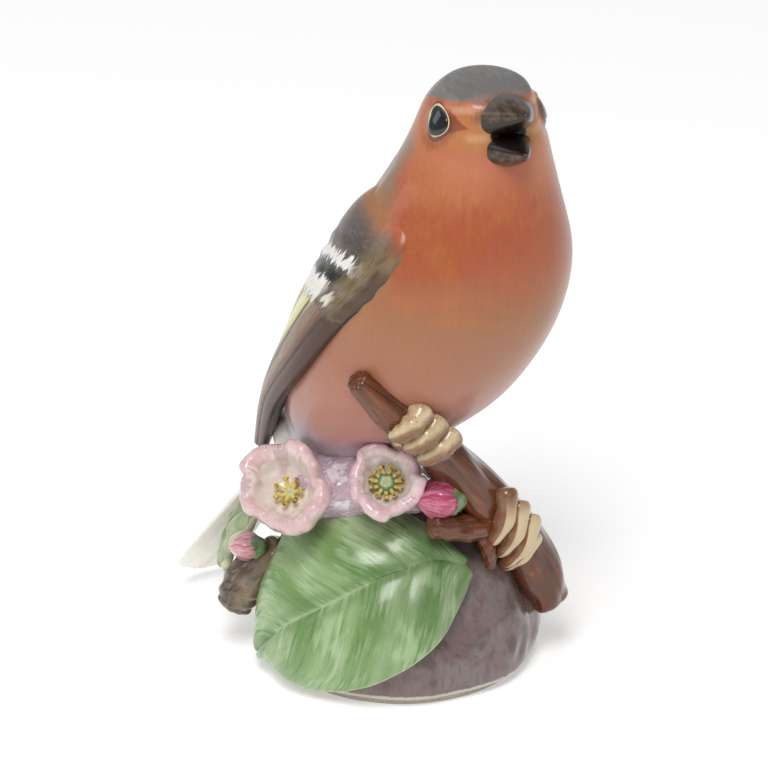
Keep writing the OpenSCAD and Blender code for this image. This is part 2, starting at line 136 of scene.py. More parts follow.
def finish_with(piece: bpy.types.Object, kind: str, **settings: object) -> None:
    """Add one modifier with its settings and apply it.

    Args:
        piece: The piece it acts on.
        kind: Blender's name for the modifier.
        settings: Values of the modifier's own properties.
    """
    take(piece)
    modifier = piece.modifiers.new(kind.title(), kind)
    for key, value in settings.items():
        setattr(modifier, key, value)
    bpy.ops.object.modifier_apply(modifier=modifier.name)


def round_off(piece: bpy.types.Object, levels: int) -> None:
    """Subdivide a piece smoothly."""
    if levels:
        finish_with(piece, "SUBSURF", levels=levels, render_levels=levels)


def smooth(piece: bpy.types.Object, angle: float = 50.0) -> None:
    """Shade a piece smooth, except across edges sharper than the angle."""
    take(piece)
    bpy.ops.object.shade_smooth_by_angle(angle=math.radians(angle))


def loft(name: str, rings: Sequence[Sequence[Vector]], levels: int = 2) -> bpy.types.Object:
    """Extrude a disc ring by ring into a closed form.

    Args:
        name: Name of the new piece.
        rings: Rings of equal length, in millimetres, from one end to the other.
        levels: Subdivision levels that finish it.

    Returns:
        The finished piece, with the attribute LIE on its points.
    """
    clear_selection()
    count = len(rings[0])
    bpy.ops.mesh.primitive_circle_add(vertices=count, radius=1, fill_type="NGON")
    piece = bpy.context.object
    piece.name = piece.data.name = name
    bpy.ops.object.mode_set(mode="EDIT")
    mesh = bmesh.from_edit_mesh(piece.data)
    mesh.verts.layers.int.new("place")
    mesh.verts.layers.float_vector.new(LIE)
    place = mesh.verts.layers.int["place"]
    for i, vertex in enumerate(mesh.verts):
        vertex[place] = i
    bmesh.update_edit_mesh(piece.data)
    for k, ring in enumerate(rings):
        if k:
            bpy.ops.mesh.extrude_region_move()
        mesh = bmesh.from_edit_mesh(piece.data)
        place, lie = mesh.verts.layers.int["place"], mesh.verts.layers.float_vector[LIE]
        for vertex in mesh.verts:
            if vertex.select:
                i = vertex[place]
                turn = math.tau * i / count
                vertex.co = ring[i]
                vertex[lie] = (math.cos(turn), math.sin(turn), k / (len(rings) - 1))
        bmesh.update_edit_mesh(piece.data)
    bpy.ops.mesh.select_all(action="SELECT")
    bpy.ops.mesh.normals_make_consistent(inside=False)
    bpy.ops.object.mode_set(mode="OBJECT")
    piece.data.attributes.remove(piece.data.attributes["place"])
    round_off(piece, levels)
    to_size(piece)
    smooth(piece)
    return piece


def sheet(name: str, cells: tuple[int, int], shape: Shape, thick: float) -> bpy.types.Object:
    """Bend a flat grid to a shape and give it a rounded thickness.

    Args:
        name: Name of the new piece.
        cells: Number of cells along u and along v.
        shape: Point in millimetres at a place (u, v), each from 0 to 1.
        thick: Thickness in millimetres, half on each side.

    Returns:
        The finished piece, with its own UV map over (u, v).
    """
    clear_selection()
    bpy.ops.mesh.primitive_grid_add(x_subdivisions=cells[0], y_subdivisions=cells[1], size=1, calc_uvs=True)
    piece = bpy.context.object
    piece.name = piece.data.name = name
    for vertex in piece.data.vertices:
        vertex.co = shape(vertex.co.x + 0.5, vertex.co.y + 0.5)
    finish_with(piece, "SOLIDIFY", thickness=thick, offset=0.0, use_even_offset=False)
    round_off(piece, 1)
    to_size(piece)
    smooth(piece, 70)
    return piece


def tube_rings(path: Sequence[Sequence[float]], steps: int, sides: int,
               knots: Callable[[float, float], float] = lambda turn, u: 1.0,
               blunt: float = 0.7, caps: int = 4) -> list[list[Vector]]:
    """Rings of a tube along a path, with rounded ends.

    Args:
        path: Stations of x, y, z and radius, in millimetres.
        steps: Number of rings between the ends.
        sides: Points on each ring.
        knots: Share of the radius at an angle round the tube and a place along it.
        blunt: Length of each rounded end, as a share of its radius.
        caps: Rings that round each end.

    Returns:
        The rings, from one end to the other.
    """
    start = heading(path, 0)
    up = Vector((0, 0, 1)) if abs(start.z) < 0.8 else Vector((1, 0, 0))
    rings = []
    for k in range(1 - caps, steps + caps):
        u = min(1.0, max(0.0, k / steps))
        over = k / caps if k < 0 else (k - steps) / caps if k > steps else 0.0
        x, y, z, r = along(path, u)
        ahead = heading(path, u)
        side = ahead.cross(up).normalized()
        top = side.cross(ahead)
        centre = Vector((x, y, z)) + ahead * r * over * blunt
        r *= math.sqrt(1 - over * over)
        rings.append([centre + (side * math.cos(turn) + top * math.sin(turn)) * r * knots(turn, u)
                      for turn in (math.tau * i / sides for i in range(sides))])
    return rings


def join(name: str, pieces: Sequence[bpy.types.Object]) -> bpy.types.Object:
    """Join pieces that were fired as one into the first of them."""
    clear_selection()
    for piece in pieces:
        piece.select_set(True)
    bpy.context.view_layer.objects.active = pieces[0]
    if len(pieces) > 1:
        bpy.ops.object.join()
    joined = bpy.context.object
    joined.name = joined.data.name = name
    return joined


def dress(piece: bpy.types.Object, material: bpy.types.Material) -> None:
    """Give a piece one material all over."""
    piece.data.materials.clear()
    piece.data.materials.append(material)


def settle(piece: bpy.types.Object, material: bpy.types.Material, slot: str, node: str) -> None:
    """Paint a piece and put it in the figure in place of its plain solid.

    Args:
        piece: The modelled piece.
        material: Its painted and glazed material.
        slot: The material slot that its finish goes with; not used.
        node: The plain solid that it stands for.
    """
    dress(piece, material)
    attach(piece, "root")
    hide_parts(node)
    LOG.info("%s: %d faces", piece.name, len(piece.data.polygons))


# ---------- paint ----------

Number = Union[float, int, "Tone"]
Colour = Union[str, bpy.types.NodeSocket]


def linear(code: str) -> tuple[float, float, float, float]:
    """Linear colour of a six-digit colour code."""
    parts = [int(code[i:i + 2], 16) / 255 for i in (0, 2, 4)]
    return tuple(p / 12.92 if p <= 0.04045 else ((p + 0.055) / 1.055) ** 2.4 for p in parts) + (1.0,)


class Tone:
    """A number that varies over a surface, held as a shader socket and used in plain sums."""

    def __init__(self, palette: "Palette", socket: bpy.types.NodeSocket) -> None:
        """Wrap a socket of a palette's node tree."""
        self.palette, self.socket = palette, socket

    def _sum(self, operation: str, *values: Number, clamp: bool = False) -> "Tone":
        """One Math node over the given values."""
        node = self.palette.node("ShaderNodeMath", {"operation": operation, "use_clamp": clamp},
                                 dict(enumerate(values)))
        return Tone(self.palette, node.outputs[0])

    def __add__(self, other: Number) -> "Tone":
        """Sum."""
        return self._sum("ADD", self, other)

    def __radd__(self, other: Number) -> "Tone":
        """Sum, reflected."""
        return self._sum("ADD", other, self)

    def __sub__(self, other: Number) -> "Tone":
        """Difference."""
        return self._sum("SUBTRACT", self, other)

    def __rsub__(self, other: Number) -> "Tone":
        """Difference, reflected."""
        return self._sum("SUBTRACT", other, self)

    def __mul__(self, other: Number) -> "Tone":
        """Product."""
        return self._sum("MULTIPLY", self, other)

    def __abs__(self) -> "Tone":
        """Size without sign."""
        return self._sum("ABSOLUTE", self)

    def least(self, other: Number) -> "Tone":
        """Smaller of the two."""
        return self._sum("MINIMUM", self, other)

    def most(self, other: Number) -> "Tone":
        """Larger of the two."""
        return self._sum("MAXIMUM", self, other)

    def root(self) -> "Tone":
        """Square root."""
        return self._sum("SQRT", self)

    def wave(self) -> "Tone":
        """Sine of a number in radians."""
        return self._sum("SINE", self)

    def part(self) -> "Tone":
        """Fraction above the whole number below it."""
        return self._sum("FRACT", self)

    def over(self, edge: Number, soft: float) -> "Tone":
        """Mask that rises from 0 to 1 across an edge.

        Args:
            edge: Where it is half way.
            soft: Half the width of the change.

        Returns:
            The mask.
        """
        node = self.palette.node("ShaderNodeMapRange", {"interpolation_type": "SMOOTHSTEP"},
                                 {0: self - edge, 1: -soft, 2: soft, 3: 0.0, 4: 1.0})
        return Tone(self.palette, node.outputs[0])

    def under(self, edge: Number, soft: float) -> "Tone":
        """Mask that falls from 1 to 0 across an edge."""
        return 1.0 - self.over(edge, soft)

    def band(self, low: Number, high: Number, soft: float) -> "Tone":
        """Mask that is 1 between two edges."""
        return self.over(low, soft) * self.under(high, soft)


@dataclass(frozen=True)
class Glaze:
    """Finish of a glazed surface: how glossy it is, and how deep its brush marks stand."""

    roughness: float = 0.25
    coat: float = 0.6
    coat_roughness: float = 0.07
    relief: float = 0.05
    grain: float = 0.5
    shine: float = 0.3


class Palette:
    """Builds one painted and glazed material."""

    def __init__(self, name: str, glaze: Glaze) -> None:
        """Start a material with its glaze set."""
        self.material = bpy.data.materials.new(name)
        self.material.use_nodes = True
        self.tree = self.material.node_tree
        self.shader = self.tree.nodes["Principled BSDF"]
        self.glaze = glaze
        self.colour: Colour = "ffffff"
        self.shader.inputs["Coat Weight"].default_value = glaze.coat
        self.shader.inputs["Coat Roughness"].default_value = glaze.coat_roughness
        self.shader.inputs["Roughness"].default_value = glaze.roughness
        self.shader.inputs["Specular IOR Level"].default_value = glaze.shine
        place = self.node("ShaderNodeTexCoord", {}, {})
        self.spot = self.node("ShaderNodeVectorMath", {"operation": "SCALE"},
                              {0: place.outputs["Object"], "Scale": 1 / MM}).outputs[0]

    def node(self, kind: str, settings: dict, values: dict) -> bpy.types.Node:
        """Add a node, with its settings first and then its sockets.

        Args:
            kind: Blender's type name of the node.
            settings: Properties of the node.
            values: Numbers, colours, tones or sockets, by the input's name or number.

        Returns:
            The node.
        """
        node = self.tree.nodes.new(kind)
        for key, value in settings.items():
            setattr(node, key, value)
        for key, value in values.items():
            if isinstance(value, Tone):
                value = value.socket
            if isinstance(value, str):
                value = linear(value)
            if isinstance(value, bpy.types.NodeSocket):
                self.tree.links.new(value, node.inputs[key])
            else:
                node.inputs[key].default_value = value
        return node

    def axes(self, vector: bpy.types.NodeSocket) -> tuple[Tone, Tone, Tone]:
        """The three parts of a vector."""
        node = self.node("ShaderNodeSeparateXYZ", {}, {0: vector})
        return tuple(Tone(self, out) for out in node.outputs)

    def vector(self, x: Number, y: Number, z: Number) -> bpy.types.NodeSocket:
        """A vector from three parts."""
        return self.node("ShaderNodeCombineXYZ", {}, {0: x, 1: y, 2: z}).outputs[0]

    def placed(self, shift: Vector, turn: float) -> bpy.types.NodeSocket:
        """Millimetre coordinates, moved by shift and then turned about the vertical by turn degrees."""
        centre = Matrix.Rotation(math.radians(turn), 3, "Z") @ Vector(shift)
        return self.node("ShaderNodeMapping", {}, {"Vector": self.spot, "Location": centre,
                                                   "Rotation": (0, 0, math.radians(turn))}).outputs[0]

    def stretched(self, vector: bpy.types.NodeSocket, scale: Sequence[float]) -> bpy.types.NodeSocket:
        """A vector with each part scaled."""
        return self.node("ShaderNodeMapping", {}, {"Vector": vector, "Scale": scale}).outputs[0]

    def lie(self) -> tuple[Tone, Tone, Tone]:
        """Place on a lofted piece: cosine and sine round it, and share along it."""
        return self.axes(self.node("ShaderNodeAttribute", {"attribute_name": LIE}, {}).outputs["Vector"])

    def uv(self) -> bpy.types.NodeSocket:
        """Place on a sheet."""
        return self.node("ShaderNodeUVMap", {"uv_map": "UVMap"}, {}).outputs[0]

    def grain(self, vector: bpy.types.NodeSocket, scale: float, detail: float = 3.0,
              rough: float = 0.6, warp: float = 0.0) -> Tone:
        """Cloudy noise from 0 to 1, with its middle at 0.5."""
        node = self.node("ShaderNodeTexNoise", {}, {"Vector": vector, "Scale": scale, "Detail": detail,
                                                    "Roughness": rough, "Distortion": warp})
        return Tone(self, node.outputs[0])

    def cloud(self, scale: float, detail: float = 3.0, rough: float = 0.6, warp: float = 0.0) -> Tone:
        """Cloudy noise from about -0.5 to 0.5 over the whole figure."""
        return self.grain(self.spot, scale, detail, rough, warp) - 0.5

    def strokes(self, vector: bpy.types.NodeSocket, stretch: Sequence[float], scale: float,
                detail: float = 3.0, rough: float = 0.6, warp: float = 0.0) -> Tone:
        """Streaky noise from about -0.5 to 0.5, long where a part of the vector is scaled little."""
        return self.grain(self.stretched(vector, stretch), scale, detail, rough, warp) - 0.5

    def cells(self, vector: bpy.types.NodeSocket, scale: float) -> Tone:
        """Distance to the nearest of many scattered dots."""
        node = self.node("ShaderNodeTexVoronoi", {}, {"Vector": vector, "Scale": scale})
        return Tone(self, node.outputs["Distance"])

    def lay(self, colour: str, mask: Tone) -> None:
        """Brush a colour over what is there, where the mask is 1."""
        node = self.node("ShaderNodeMix", {"data_type": "RGBA"}, {0: mask, 6: self.colour, 7: colour})
        self.colour = node.outputs[2]

    def shade(self, amount: Tone) -> None:
        """Make what is there lighter above 1 and darker below it."""
        grey = self.node("ShaderNodeCombineColor", {}, {0: amount, 1: amount, 2: amount}).outputs[0]
        node = self.node("ShaderNodeMix", {"data_type": "RGBA", "blend_type": "MULTIPLY"},
                         {0: 1.0, 6: self.colour, 7: grey})
        self.colour = node.outputs[2]

    def fire(self, height: Optional[Tone] = None) -> bpy.types.Material:
        """Finish the material.

        Args:
            height: Relief of the brush marks; without it, only the glaze's own waves are there.

        Returns:
            The material.
        """
        self.tree.links.new(self.colour, self.shader.inputs["Base Color"])
        waves = self.grain(self.spot, 0.35, 2.0) * 0.6 + self.grain(self.spot, 1.6, 3.0) * 0.25
        relief = waves if height is None else waves + height * self.glaze.grain
        bump = self.node("ShaderNodeBump", {}, {"Strength": 0.5, "Distance": self.glaze.relief * MM,
                                                "Height": relief})
        self.tree.links.new(bump.outputs[0], self.shader.inputs["Normal"])
        return self.material


# ---------- the shapes that the figure's parts share ----------

HEAD = Vector((0.0, -9.8, 58.8))     # centre of the head
GAPE = (6.2, 0.0, 2.4)               # middle of the mouth: ahead along the beak, left and up from HEAD
BEAK_TURN = 26.0                     # degrees that the beak points to the bird's right


@dataclass(frozen=True)
class Trunk:
    """Form of the bird's body and head, before its features are modelled."""

    girth: float = 12.0
    head_r: float = 6.4
    head_turn: float = 27.0
    neck: tuple[float, float] = (48.0, 60.0)
    square: float = 2.7
    softening: int = 10

    def stations(self) -> list[list[float]]:
        """Rump to head: y, z, half-width, front and back, the last three as shares of the girth."""
        r = self.head_r / self.girth
        return [[11.0, 21.6, 0.38, 0.34, 0.32], [6.8, 25.2, 0.70, 0.54, 0.56], [2.2, 30.6, 0.91, 0.74, 0.76],
                [-2.8, 38.0, 1.00, 0.95, 0.84], [-6.3, 46.0, 0.99, 1.02, 0.80],
                [-8.4, 53.0, 0.76, 0.86, 0.64], [HEAD.y, HEAD.z, r, r * 1.08, r]]

    def turned(self, point: Vector, share: Optional[float] = None) -> Vector:
        """Turn a point with the head.

        Args:
            point: The point before the head is turned.
            share: Share of the whole turn; without it, the share grows up the neck.

        Returns:
            The turned point.
        """
        if share is None:
            share = ease((point.z - self.neck[0]) / (self.neck[1] - self.neck[0]))
        return HEAD + Matrix.Rotation(math.radians(-self.head_turn * share), 3, "Z") @ (point - HEAD)

    def gaze(self, side: float, lift: float) -> Vector:
        """Direction from the head's centre, so many degrees to the bird's left and above level."""
        return self.turned(HEAD + bearing(side, lift), 1.0) - HEAD

    def shaped(self, point: Vector) -> Vector:
        """Bring the brow forward, lower the back of the crown and fill out its top."""
        turn = Matrix.Rotation(math.radians(self.head_turn), 3, "Z")
        local = turn @ (point - HEAD)
        rise = ease((local.z + 1.5) / 6)
        wide = 1 - 0.04 * rise + 0.16 * ease((local.z - 3.0) / 3.0)
        local.x = local.x * wide - 0.35 * rise
        local.y = local.y * wide - 1.1 * ease(local.z / 6.5)
        local.z += 0.35 * rise - 0.008 * max(0.0, local.y + 1.0) ** 2 * rise
        return HEAD + turn.transposed() @ local

    def rings(self, steps: int, caps: int, sides: int) -> list[list[Vector]]:
        """Rings of the trunk from the rump to the crown."""
        rings = []
        for k in range(-caps, steps + caps + 1):
            u = min(1.0, max(0.0, k / steps))
            over = k if k < 0 else max(0, k - steps)
            over = math.sin(math.pi / 2 * over / (caps + 0.6))
            y, z, wide, front, back = along(self.stations(), u)
            low, high = along(self.stations(), max(0, u - 0.01)), along(self.stations(), min(1, u + 0.01))
            ahead = Vector((0, high[0] - low[0], high[1] - low[1])).normalized()
            behind = Vector((0, ahead.z, -ahead.y))
            shrink = (1 - abs(over) ** self.square) ** (1 / self.square)
            centre = Vector((0, y, z)) + ahead * wide * self.girth * over
            ring = []
            for i in range(sides):
                turn = math.tau * i / sides
                c, q = math.cos(turn), math.sin(turn)
                aside = Vector((wide * self.girth * c * shrink, 0, 0))
                depth = (back if q > 0 else front) * self.girth * q * shrink
                ring.append(self.shaped(self.turned(centre + aside + behind * depth)))
            rings.append(ring)
        self.soften(rings, steps // 2 + caps)
        return rings

    def soften(self, rings: list[list[Vector]], first: int) -> None:
        """Even out the rings of the neck and the head, from the first of them up."""
        for _ in range(self.softening):
            old = [list(ring) for ring in rings]
            for k in range(first, len(rings) - 3):
                share = ease((old[k][0].z - 50.0) / 4.0)
                for i, point in enumerate(old[k]):
                    middle = (old[k - 1][i] + old[k + 1][i]) / 2
                    rings[k][i] = point.lerp(middle, 0.5 * share)


TRUNK = Trunk()


@dataclass(frozen=True)
class Rock:
    """Form of the mound."""

    radius: float = 13.8
    height: float = 19.0
    foot: float = 0.8
    dome: tuple = ((0, 0, 0, 1.0), (0.12, 0, 0, 1.03), (0.30, 0.1, 0.1, 1.02), (0.50, 0.2, 0.4, 0.93),
                   (0.70, 0.3, 1.0, 0.78), (0.86, 0.2, 1.8, 0.57), (0.96, 0, 2.4, 0.34), (1.0, 0, 2.6, 0.12))

    def point(self, angle: float, u: float) -> Vector:
        """Point of the rock at an angle in degrees and a share of the way up its side."""
        share, x, y, r = along(self.dome, u)
        plan = (1 + 0.012 * cos_deg(3 * angle + 220) + 0.016 * u * cos_deg(5 * angle + 130 * u)
                + 0.01 * cos_deg(8 * angle))
        r = max(0.4, self.radius * r * plan)
        return Vector((x + r * cos_deg(angle), y + r * sin_deg(angle), mix(self.foot, self.height, share)))

    def over(self, angle: float, height: float, lift: float) -> Vector:
        """Point raised off the rock at an angle in degrees and a height in millimetres."""
        share = (height - self.foot) / (self.height - self.foot)
        last = len(self.dome) - 1
        i = max(0, min(last - 1, sum(1 for row in self.dome if row[0] <= share) - 1))
        low, high = self.dome[i][0], self.dome[i + 1][0]
        u = max(0.0, min(1.0, (i + (share - low) / (high - low)) / last))
        across = self.point(angle + 2, u) - self.point(angle - 2, u)
        upward = self.point(angle, min(1, u + 0.02)) - self.point(angle, max(0, u - 0.02))
        return self.point(angle, u) + across.cross(upward).normalized() * lift


ROCK = Rock()
MAIN_BRANCH = ((8.0, -12.8, 6.4, 2.1), (7.0, -12.3, 9.6, 2.5), (4.8, -11.4, 14.0, 2.7),
               (2.0, -10.8, 18.0, 2.7), (-1.4, -9.8, 22.2, 2.5), (-5.0, -8.2, 27.2, 2.2),
               (-9.0, -6.4, 31.6, 2.05), (-12.4, -4.8, 35.6, 1.25))


def carve(piece: bpy.types.Object, depth: Callable[[Vector], float]) -> None:
    """Raise or sink a finely divided surface along its normals.

    Args:
        piece: The piece, in metres.
        depth: Height in millimetres at a point in millimetres.
    """
    moves = [vertex.normal * depth(vertex.co / MM) * MM for vertex in piece.data.vertices]
    for vertex, move in zip(piece.data.vertices, moves):
        vertex.co += move


def carve_along(piece: bpy.types.Object, depth: Callable[[Vector], float]) -> None:
    """Raise or sink a lofted surface by its own places.

    Args:
        piece: The piece, in metres, with the attribute LIE.
        depth: Height in millimetres at a place: cosine and sine round it, and share along it.
    """
    places = [item.vector.copy() for item in piece.data.attributes[LIE].data]
    moves = [vertex.normal * depth(place) * MM for vertex, place in zip(piece.data.vertices, places)]
    for vertex, move in zip(piece.data.vertices, moves):
        vertex.co += move


def stand_at(piece: bpy.types.Object, place: Vector, axis: Vector, spin: float = 0.0) -> None:
    """Move a piece that was made at the origin so that its Z points along an axis through a place.

    Args:
        piece: The piece, in metres.
        place: Where its origin goes, in millimetres.
        axis: Unit direction that its Z takes.
        spin: Turn about its own Z first, in degrees.
    """
    tilt = Matrix.Rotation(math.atan2(axis.y, axis.x), 4, "Z") @ Matrix.Rotation(math.acos(axis.z), 4, "Y")
    piece.data.transform(Matrix.Translation(place * MM) @ tilt @ Matrix.Rotation(math.radians(spin), 4, "Z"))
    piece.data.update()


class Side(Enum):
    """Side of the bird."""

    RIGHT = -1
    LEFT = 1

    @property
    def word(self) -> str:
        """Its name in a piece's name."""
        return self.name.lower()


# ---------- the bird ----------

@dataclass
class Body:
    """Breast, back and head of the bird."""

    sides: int = 56
    steps: int = 34
    caps: int = 9
    eye_side: float = 64.0
    eye_lift: float = 28.0
    eye_rim: float = 1.42

    def eye_axis(self, side: Side) -> Vector:
        """Direction of an eye from the head's centre."""
        return TRUNK.gaze(side.value * self.eye_side, self.eye_lift)

    def relief(self, point: Vector) -> float:
        """Modelling of the head, the neck and the back."""
        out = 0.0
        from_head = point - HEAD
        for side in Side:
            axis = self.eye_axis(side)
            if from_head.dot(axis) > 0:
                ring = from_head.cross(axis).length
                out += 0.16 * math.exp(-((ring - self.eye_rim) / 0.2) ** 2)
                out -= 0.15 * math.exp(-(ring / 1.3) ** 4)
                out -= 0.14 * math.exp(-((ring - 2.3) / 0.6) ** 2)
        mouth = point - HEAD - Beak.place(*GAPE)
        out -= 1.3 * math.exp(-(mouth.length / 1.7) ** 2)
        out += 0.10 * roughen(point, 7.0, 3.0)
        if point.y > -6 and point.z < 56:
            out += 0.06 * math.sin(point.x * 2.6 + 0.4 * math.sin(point.z * 1.1)) * ease((point.y + 6) / 5)
        return out

    def build(self) -> bpy.types.Object:
        """Model the body and paint it."""
        body = loft("glazed_body", TRUNK.rings(self.steps, self.caps, self.sides), 2)
        carve(body, self.relief)
        settle(body, self.paint(), "bird_glaze", "body_shell")
        return body

    def paint(self) -> bpy.types.Material:
        """Slate crown, orange face and breast, tan and rose belly, white vent, chestnut back."""
        p = Palette("bird_glaze", Glaze(0.34, 0.32, 0.13, 0.07, 0.5))
        x, y, z = p.axes(p.spot)
        patches, strokes = plumage(p)
        fine = p.strokes(p.spot, (1.0, 1.0, 0.35), 3.4, 3.0, 0.6)
        height = z + patches * 6.0 + strokes * 2.5
        p.colour = "d9d4d2"
        p.lay("a99aa2", height.over(23.0, 2.4))
        p.lay("b58277", height.over(26.2, 3.2))
        p.lay("a57055", height.over(33.0, 5.0))
        p.lay("9f6a42", height.over(40.5, 5.0))
        p.lay("a8562f", height.over(45.5, 4.2))
        p.lay("a9502b", height.over(50.5, 3.0) * 0.7)
        p.lay("bb6d49", height.over(54.5, 4.0) * 0.85)
        p.lay("c08050", (patches + strokes * 0.3).over(0.08, 0.22) * height.over(38.0, 4.0) * 0.35)
        p.lay("b35f58", (patches * -1.0 + strokes * 0.3).over(0.09, 0.20) * height.over(42.0, 4.0) * 0.35)
        p.lay("c08278", (x + patches * 8.0).over(8.0, 4.5) * 0.75)
        p.lay("b56f52", (x + patches * 5.0).under(-6.5, 3.0) * height.band(28.0, 40.0, 4.0) * 0.35)
        lay_mantle(p, y, z, patches, strokes)
        rump = (y - abs(x) * 1.1 + strokes * 2.0).over(5.5, 1.2) * height.under(36.0, 2.0)
        p.lay("7f8a5c", rump)
        p.lay("e3ded3", rump * height.under(24.0, 2.0))
        head = p.placed(-HEAD, TRUNK.head_turn)
        hx, hy, hz = p.axes(head)
        nape = (hy + patches * 1.5 + strokes * 1.2).over(3.7 - hz * 0.1, 0.8) * z.over(54.0, 1.6)
        p.lay("8f8683", nape * 0.95)
        cap = hz + hy * 0.20 + strokes * 1.1
        crown = (cap - abs(hx) * 0.06).over(4.5, 0.35)
        slate = p.strokes(head, (1.5, 0.35, 1.0), 1.2, 4.0, 0.65)
        p.lay("84817f", crown)
        p.lay("5c5b5d", crown * (slate + hy * -0.06 + 0.5).over(0.58, 0.20) * 0.45)
        p.lay("4c4643", crown * cap.under(4.9, 0.5) * (fine + 0.5).over(0.5, 0.1) * 0.5)
        p.lay("b98a80", crown * (hy + strokes * 2.0).under(-4.7, 0.9) * 0.7)
        self.face(p, hx, hy, hz, strokes, fine, patches)
        p.shade(1.0 + fine * 0.16 + strokes * 0.10)
        return p.fire(strokes + fine)

    def face(self, p: Palette, hx: Tone, hy: Tone, hz: Tone, strokes: Tone, fine: Tone,
             patches: Tone) -> None:
        """Paint the brow with a painted highlight line along it, the cheeks, the eye rings, and the gape,
        its middle near-black as painted shade over the mouth's dark inside.

        Args:
            p: The palette of the body.
            hx: Place to the bird's left, from the head's centre.
            hy: Place behind the head's centre.
            hz: Place above the head's centre.
            strokes: Brush strokes.
            fine: Finer strokes.
            patches: Cloudy patches.
        """
        front, aside = hy.under(-1.0, 1.5), abs(hx)
        brow = (hz + strokes * 2.0 + patches * 3.0).band(0.6, 4.4, 0.9)
        cheek = (hz + strokes * 2.0).band(-4.0, 0.0, 1.2)
        p.lay("b97a40", front * brow * aside.under(5.2, 1.0) * 0.7)
        # painted highlight: a pale pink glint line along the brow, just below the crown's edge
        p.lay("d8a98a", front * (hz + hy * 0.20 + strokes).band(3.5, 4.2, 0.3) * aside.under(5.0, 1.0) * 0.6)
        p.lay("c98059", front * cheek * aside.band(2.0, 6.0, 1.2) * 0.4)
        for side in Side:
            axis = bearing(self.eye_side * side.value, self.eye_lift)
            near = (hx * axis.x + hy * axis.y + hz * axis.z).over(2.0, 0.5)
            up = Vector((0, 0, 1)) - axis * axis.z
            up.normalize()
            level = axis.cross(up) * side.value
            a = hx * level.x + hy * level.y + hz * level.z
            b = (hx * up.x + hy * up.y + hz * up.z) * (a * 0.20 + 0.95)
            ring = (a * a + b * b).root()
            rust = (ring + strokes * 1.6 + b * 0.16).under(2.0, 0.3) * near
            wedge = (abs(b - 0.15) * 1.5 + a + fine * 0.8).under(3.3, 0.3) * a.over(1.1, 0.2) * near
            p.lay("8e4724", rust * 0.55)
            p.lay("7b371b", wedge * 0.75)
            p.lay("5d2c16", (ring + fine * 0.3).band(1.44, 1.66 - b * 0.06, 0.06) * near * 0.85)
            p.lay("e2d3a8", ring.band(1.24, 1.44, 0.045) * near)
            p.lay("17110f", ring.under(1.25, 0.04) * near)
        mouth = Matrix.Rotation(math.radians(TRUNK.head_turn), 3, "Z") @ Beak.place(*GAPE)
        dx, dy, dz = hx - mouth.x, hy - mouth.y, hz - mouth.z
        gap = (dx * dx + dy * dy + dz * dz).root()
        slot = (dx * dx + dy * dy + dz * dz * 2.6).root()
        p.lay("5a4c44", (gap + strokes * 2.0).under(3.9, 0.5) * hz.over(3.8, 0.5) * 0.6)
        p.lay("d2a877", (slot + strokes * 1.5).under(4.0, 0.4) * hz.band(1.9, 2.7, 0.3) * 0.5)
        # the mouth's dark inside, deepened to near-black as painted shade between the mandibles
        p.lay("140b09", slot.under(1.9, 0.15))


def plumage(p: Palette) -> tuple[Tone, Tone]:
    """Cloudy patches and upright brush strokes that the body and the wings share."""
    return p.cloud(0.16, 3.0, 0.6, 0.4), p.strokes(p.spot, (1.6, 1.6, 0.28), 1.1, 4.0, 0.7)


def lay_mantle(p: Palette, y: Tone, z: Tone, patches: Tone, strokes: Tone) -> None:
    """Paint the chestnut and grey-brown of the back over what is there.

    Args:
        p: The palette.
        y: Place towards the tail, in millimetres.
        z: Height in millimetres.
        patches: Cloudy patches.
        strokes: Brush strokes.
    """
    edge = (46.0 - z).most(0.0) * 1.1 - 7.6 + (z - 49.5).most(0.0).least(5.0) * 0.5
    back = (y + patches * 3.5 + strokes * 2.4).over(edge, 1.5)
    p.lay("a8734c", back)
    p.lay("7d654f", back * (strokes * 0.8 + patches).over(0.04, 0.12) * 0.6)
    p.lay("8d8073", back * (z + strokes * 3.0).over(54.0, 1.6) * 0.8)


@dataclass
class Eyes:
    """Two domed black eyes."""

    radius: float = 1.22
    dome: float = 0.46
    sunk: float = 0.06
    segments: int = 40

    def build(self, body: bpy.types.Object) -> None:
        """Model both eyes, each set in its socket on the body."""
        for side in Side:
            clear_selection()
            bpy.ops.mesh.primitive_uv_sphere_add(segments=self.segments, ring_count=self.segments // 2,
                                                 radius=self.radius)
            eye = bpy.context.object
            eye.name = eye.data.name = f"{side.word}_eye_bead"
            bpy.ops.object.mode_set(mode="EDIT")
            bpy.ops.mesh.select_all(action="SELECT")
            flat = (1.0, 1.0, self.dome / self.radius)
            bpy.ops.transform.resize(value=flat, center_override=(0, 0, 0))
            bpy.ops.mesh.bisect(plane_co=(0, 0, -self.dome * 0.5), plane_no=(0, 0, 1), use_fill=True,
                                clear_inner=True)
            bpy.ops.object.mode_set(mode="OBJECT")
            round_off(eye, 1)
            for vertex in eye.data.vertices:      # a little higher than long, most at the back
                vertex.co.y /= 0.86 - 0.20 * vertex.co.x * side.value
            to_size(eye)
            smooth(eye, 60)
            axis = Body().eye_axis(side)
            seat = body.ray_cast(HEAD * MM, axis)[1] / MM
            level = axis.cross(Vector((0, 0, 1))).normalized() * -1
            frame_of_eye = Matrix((level, axis.cross(level), axis)).transposed().to_4x4()
            eye.data.transform(Matrix.Translation((seat - axis * self.sunk) * MM) @ frame_of_eye)
            eye.data.update()
            settle(eye, self.paint(), "eye_glaze", f"{side.word}_eye")

    def paint(self) -> bpy.types.Material:
        """Blue-black, glass-like glaze with faint cloudy patches."""
        p = Palette("eye_glaze", Glaze(0.08, 1.0, 0.02, 0.01, 0.2))
        cloud = p.grain(p.spot, 0.8, 2.0)
        p.colour = "0a0b0d"
        p.lay("171b20", cloud.over(0.55, 0.12) * 0.6)
        return p.fire()


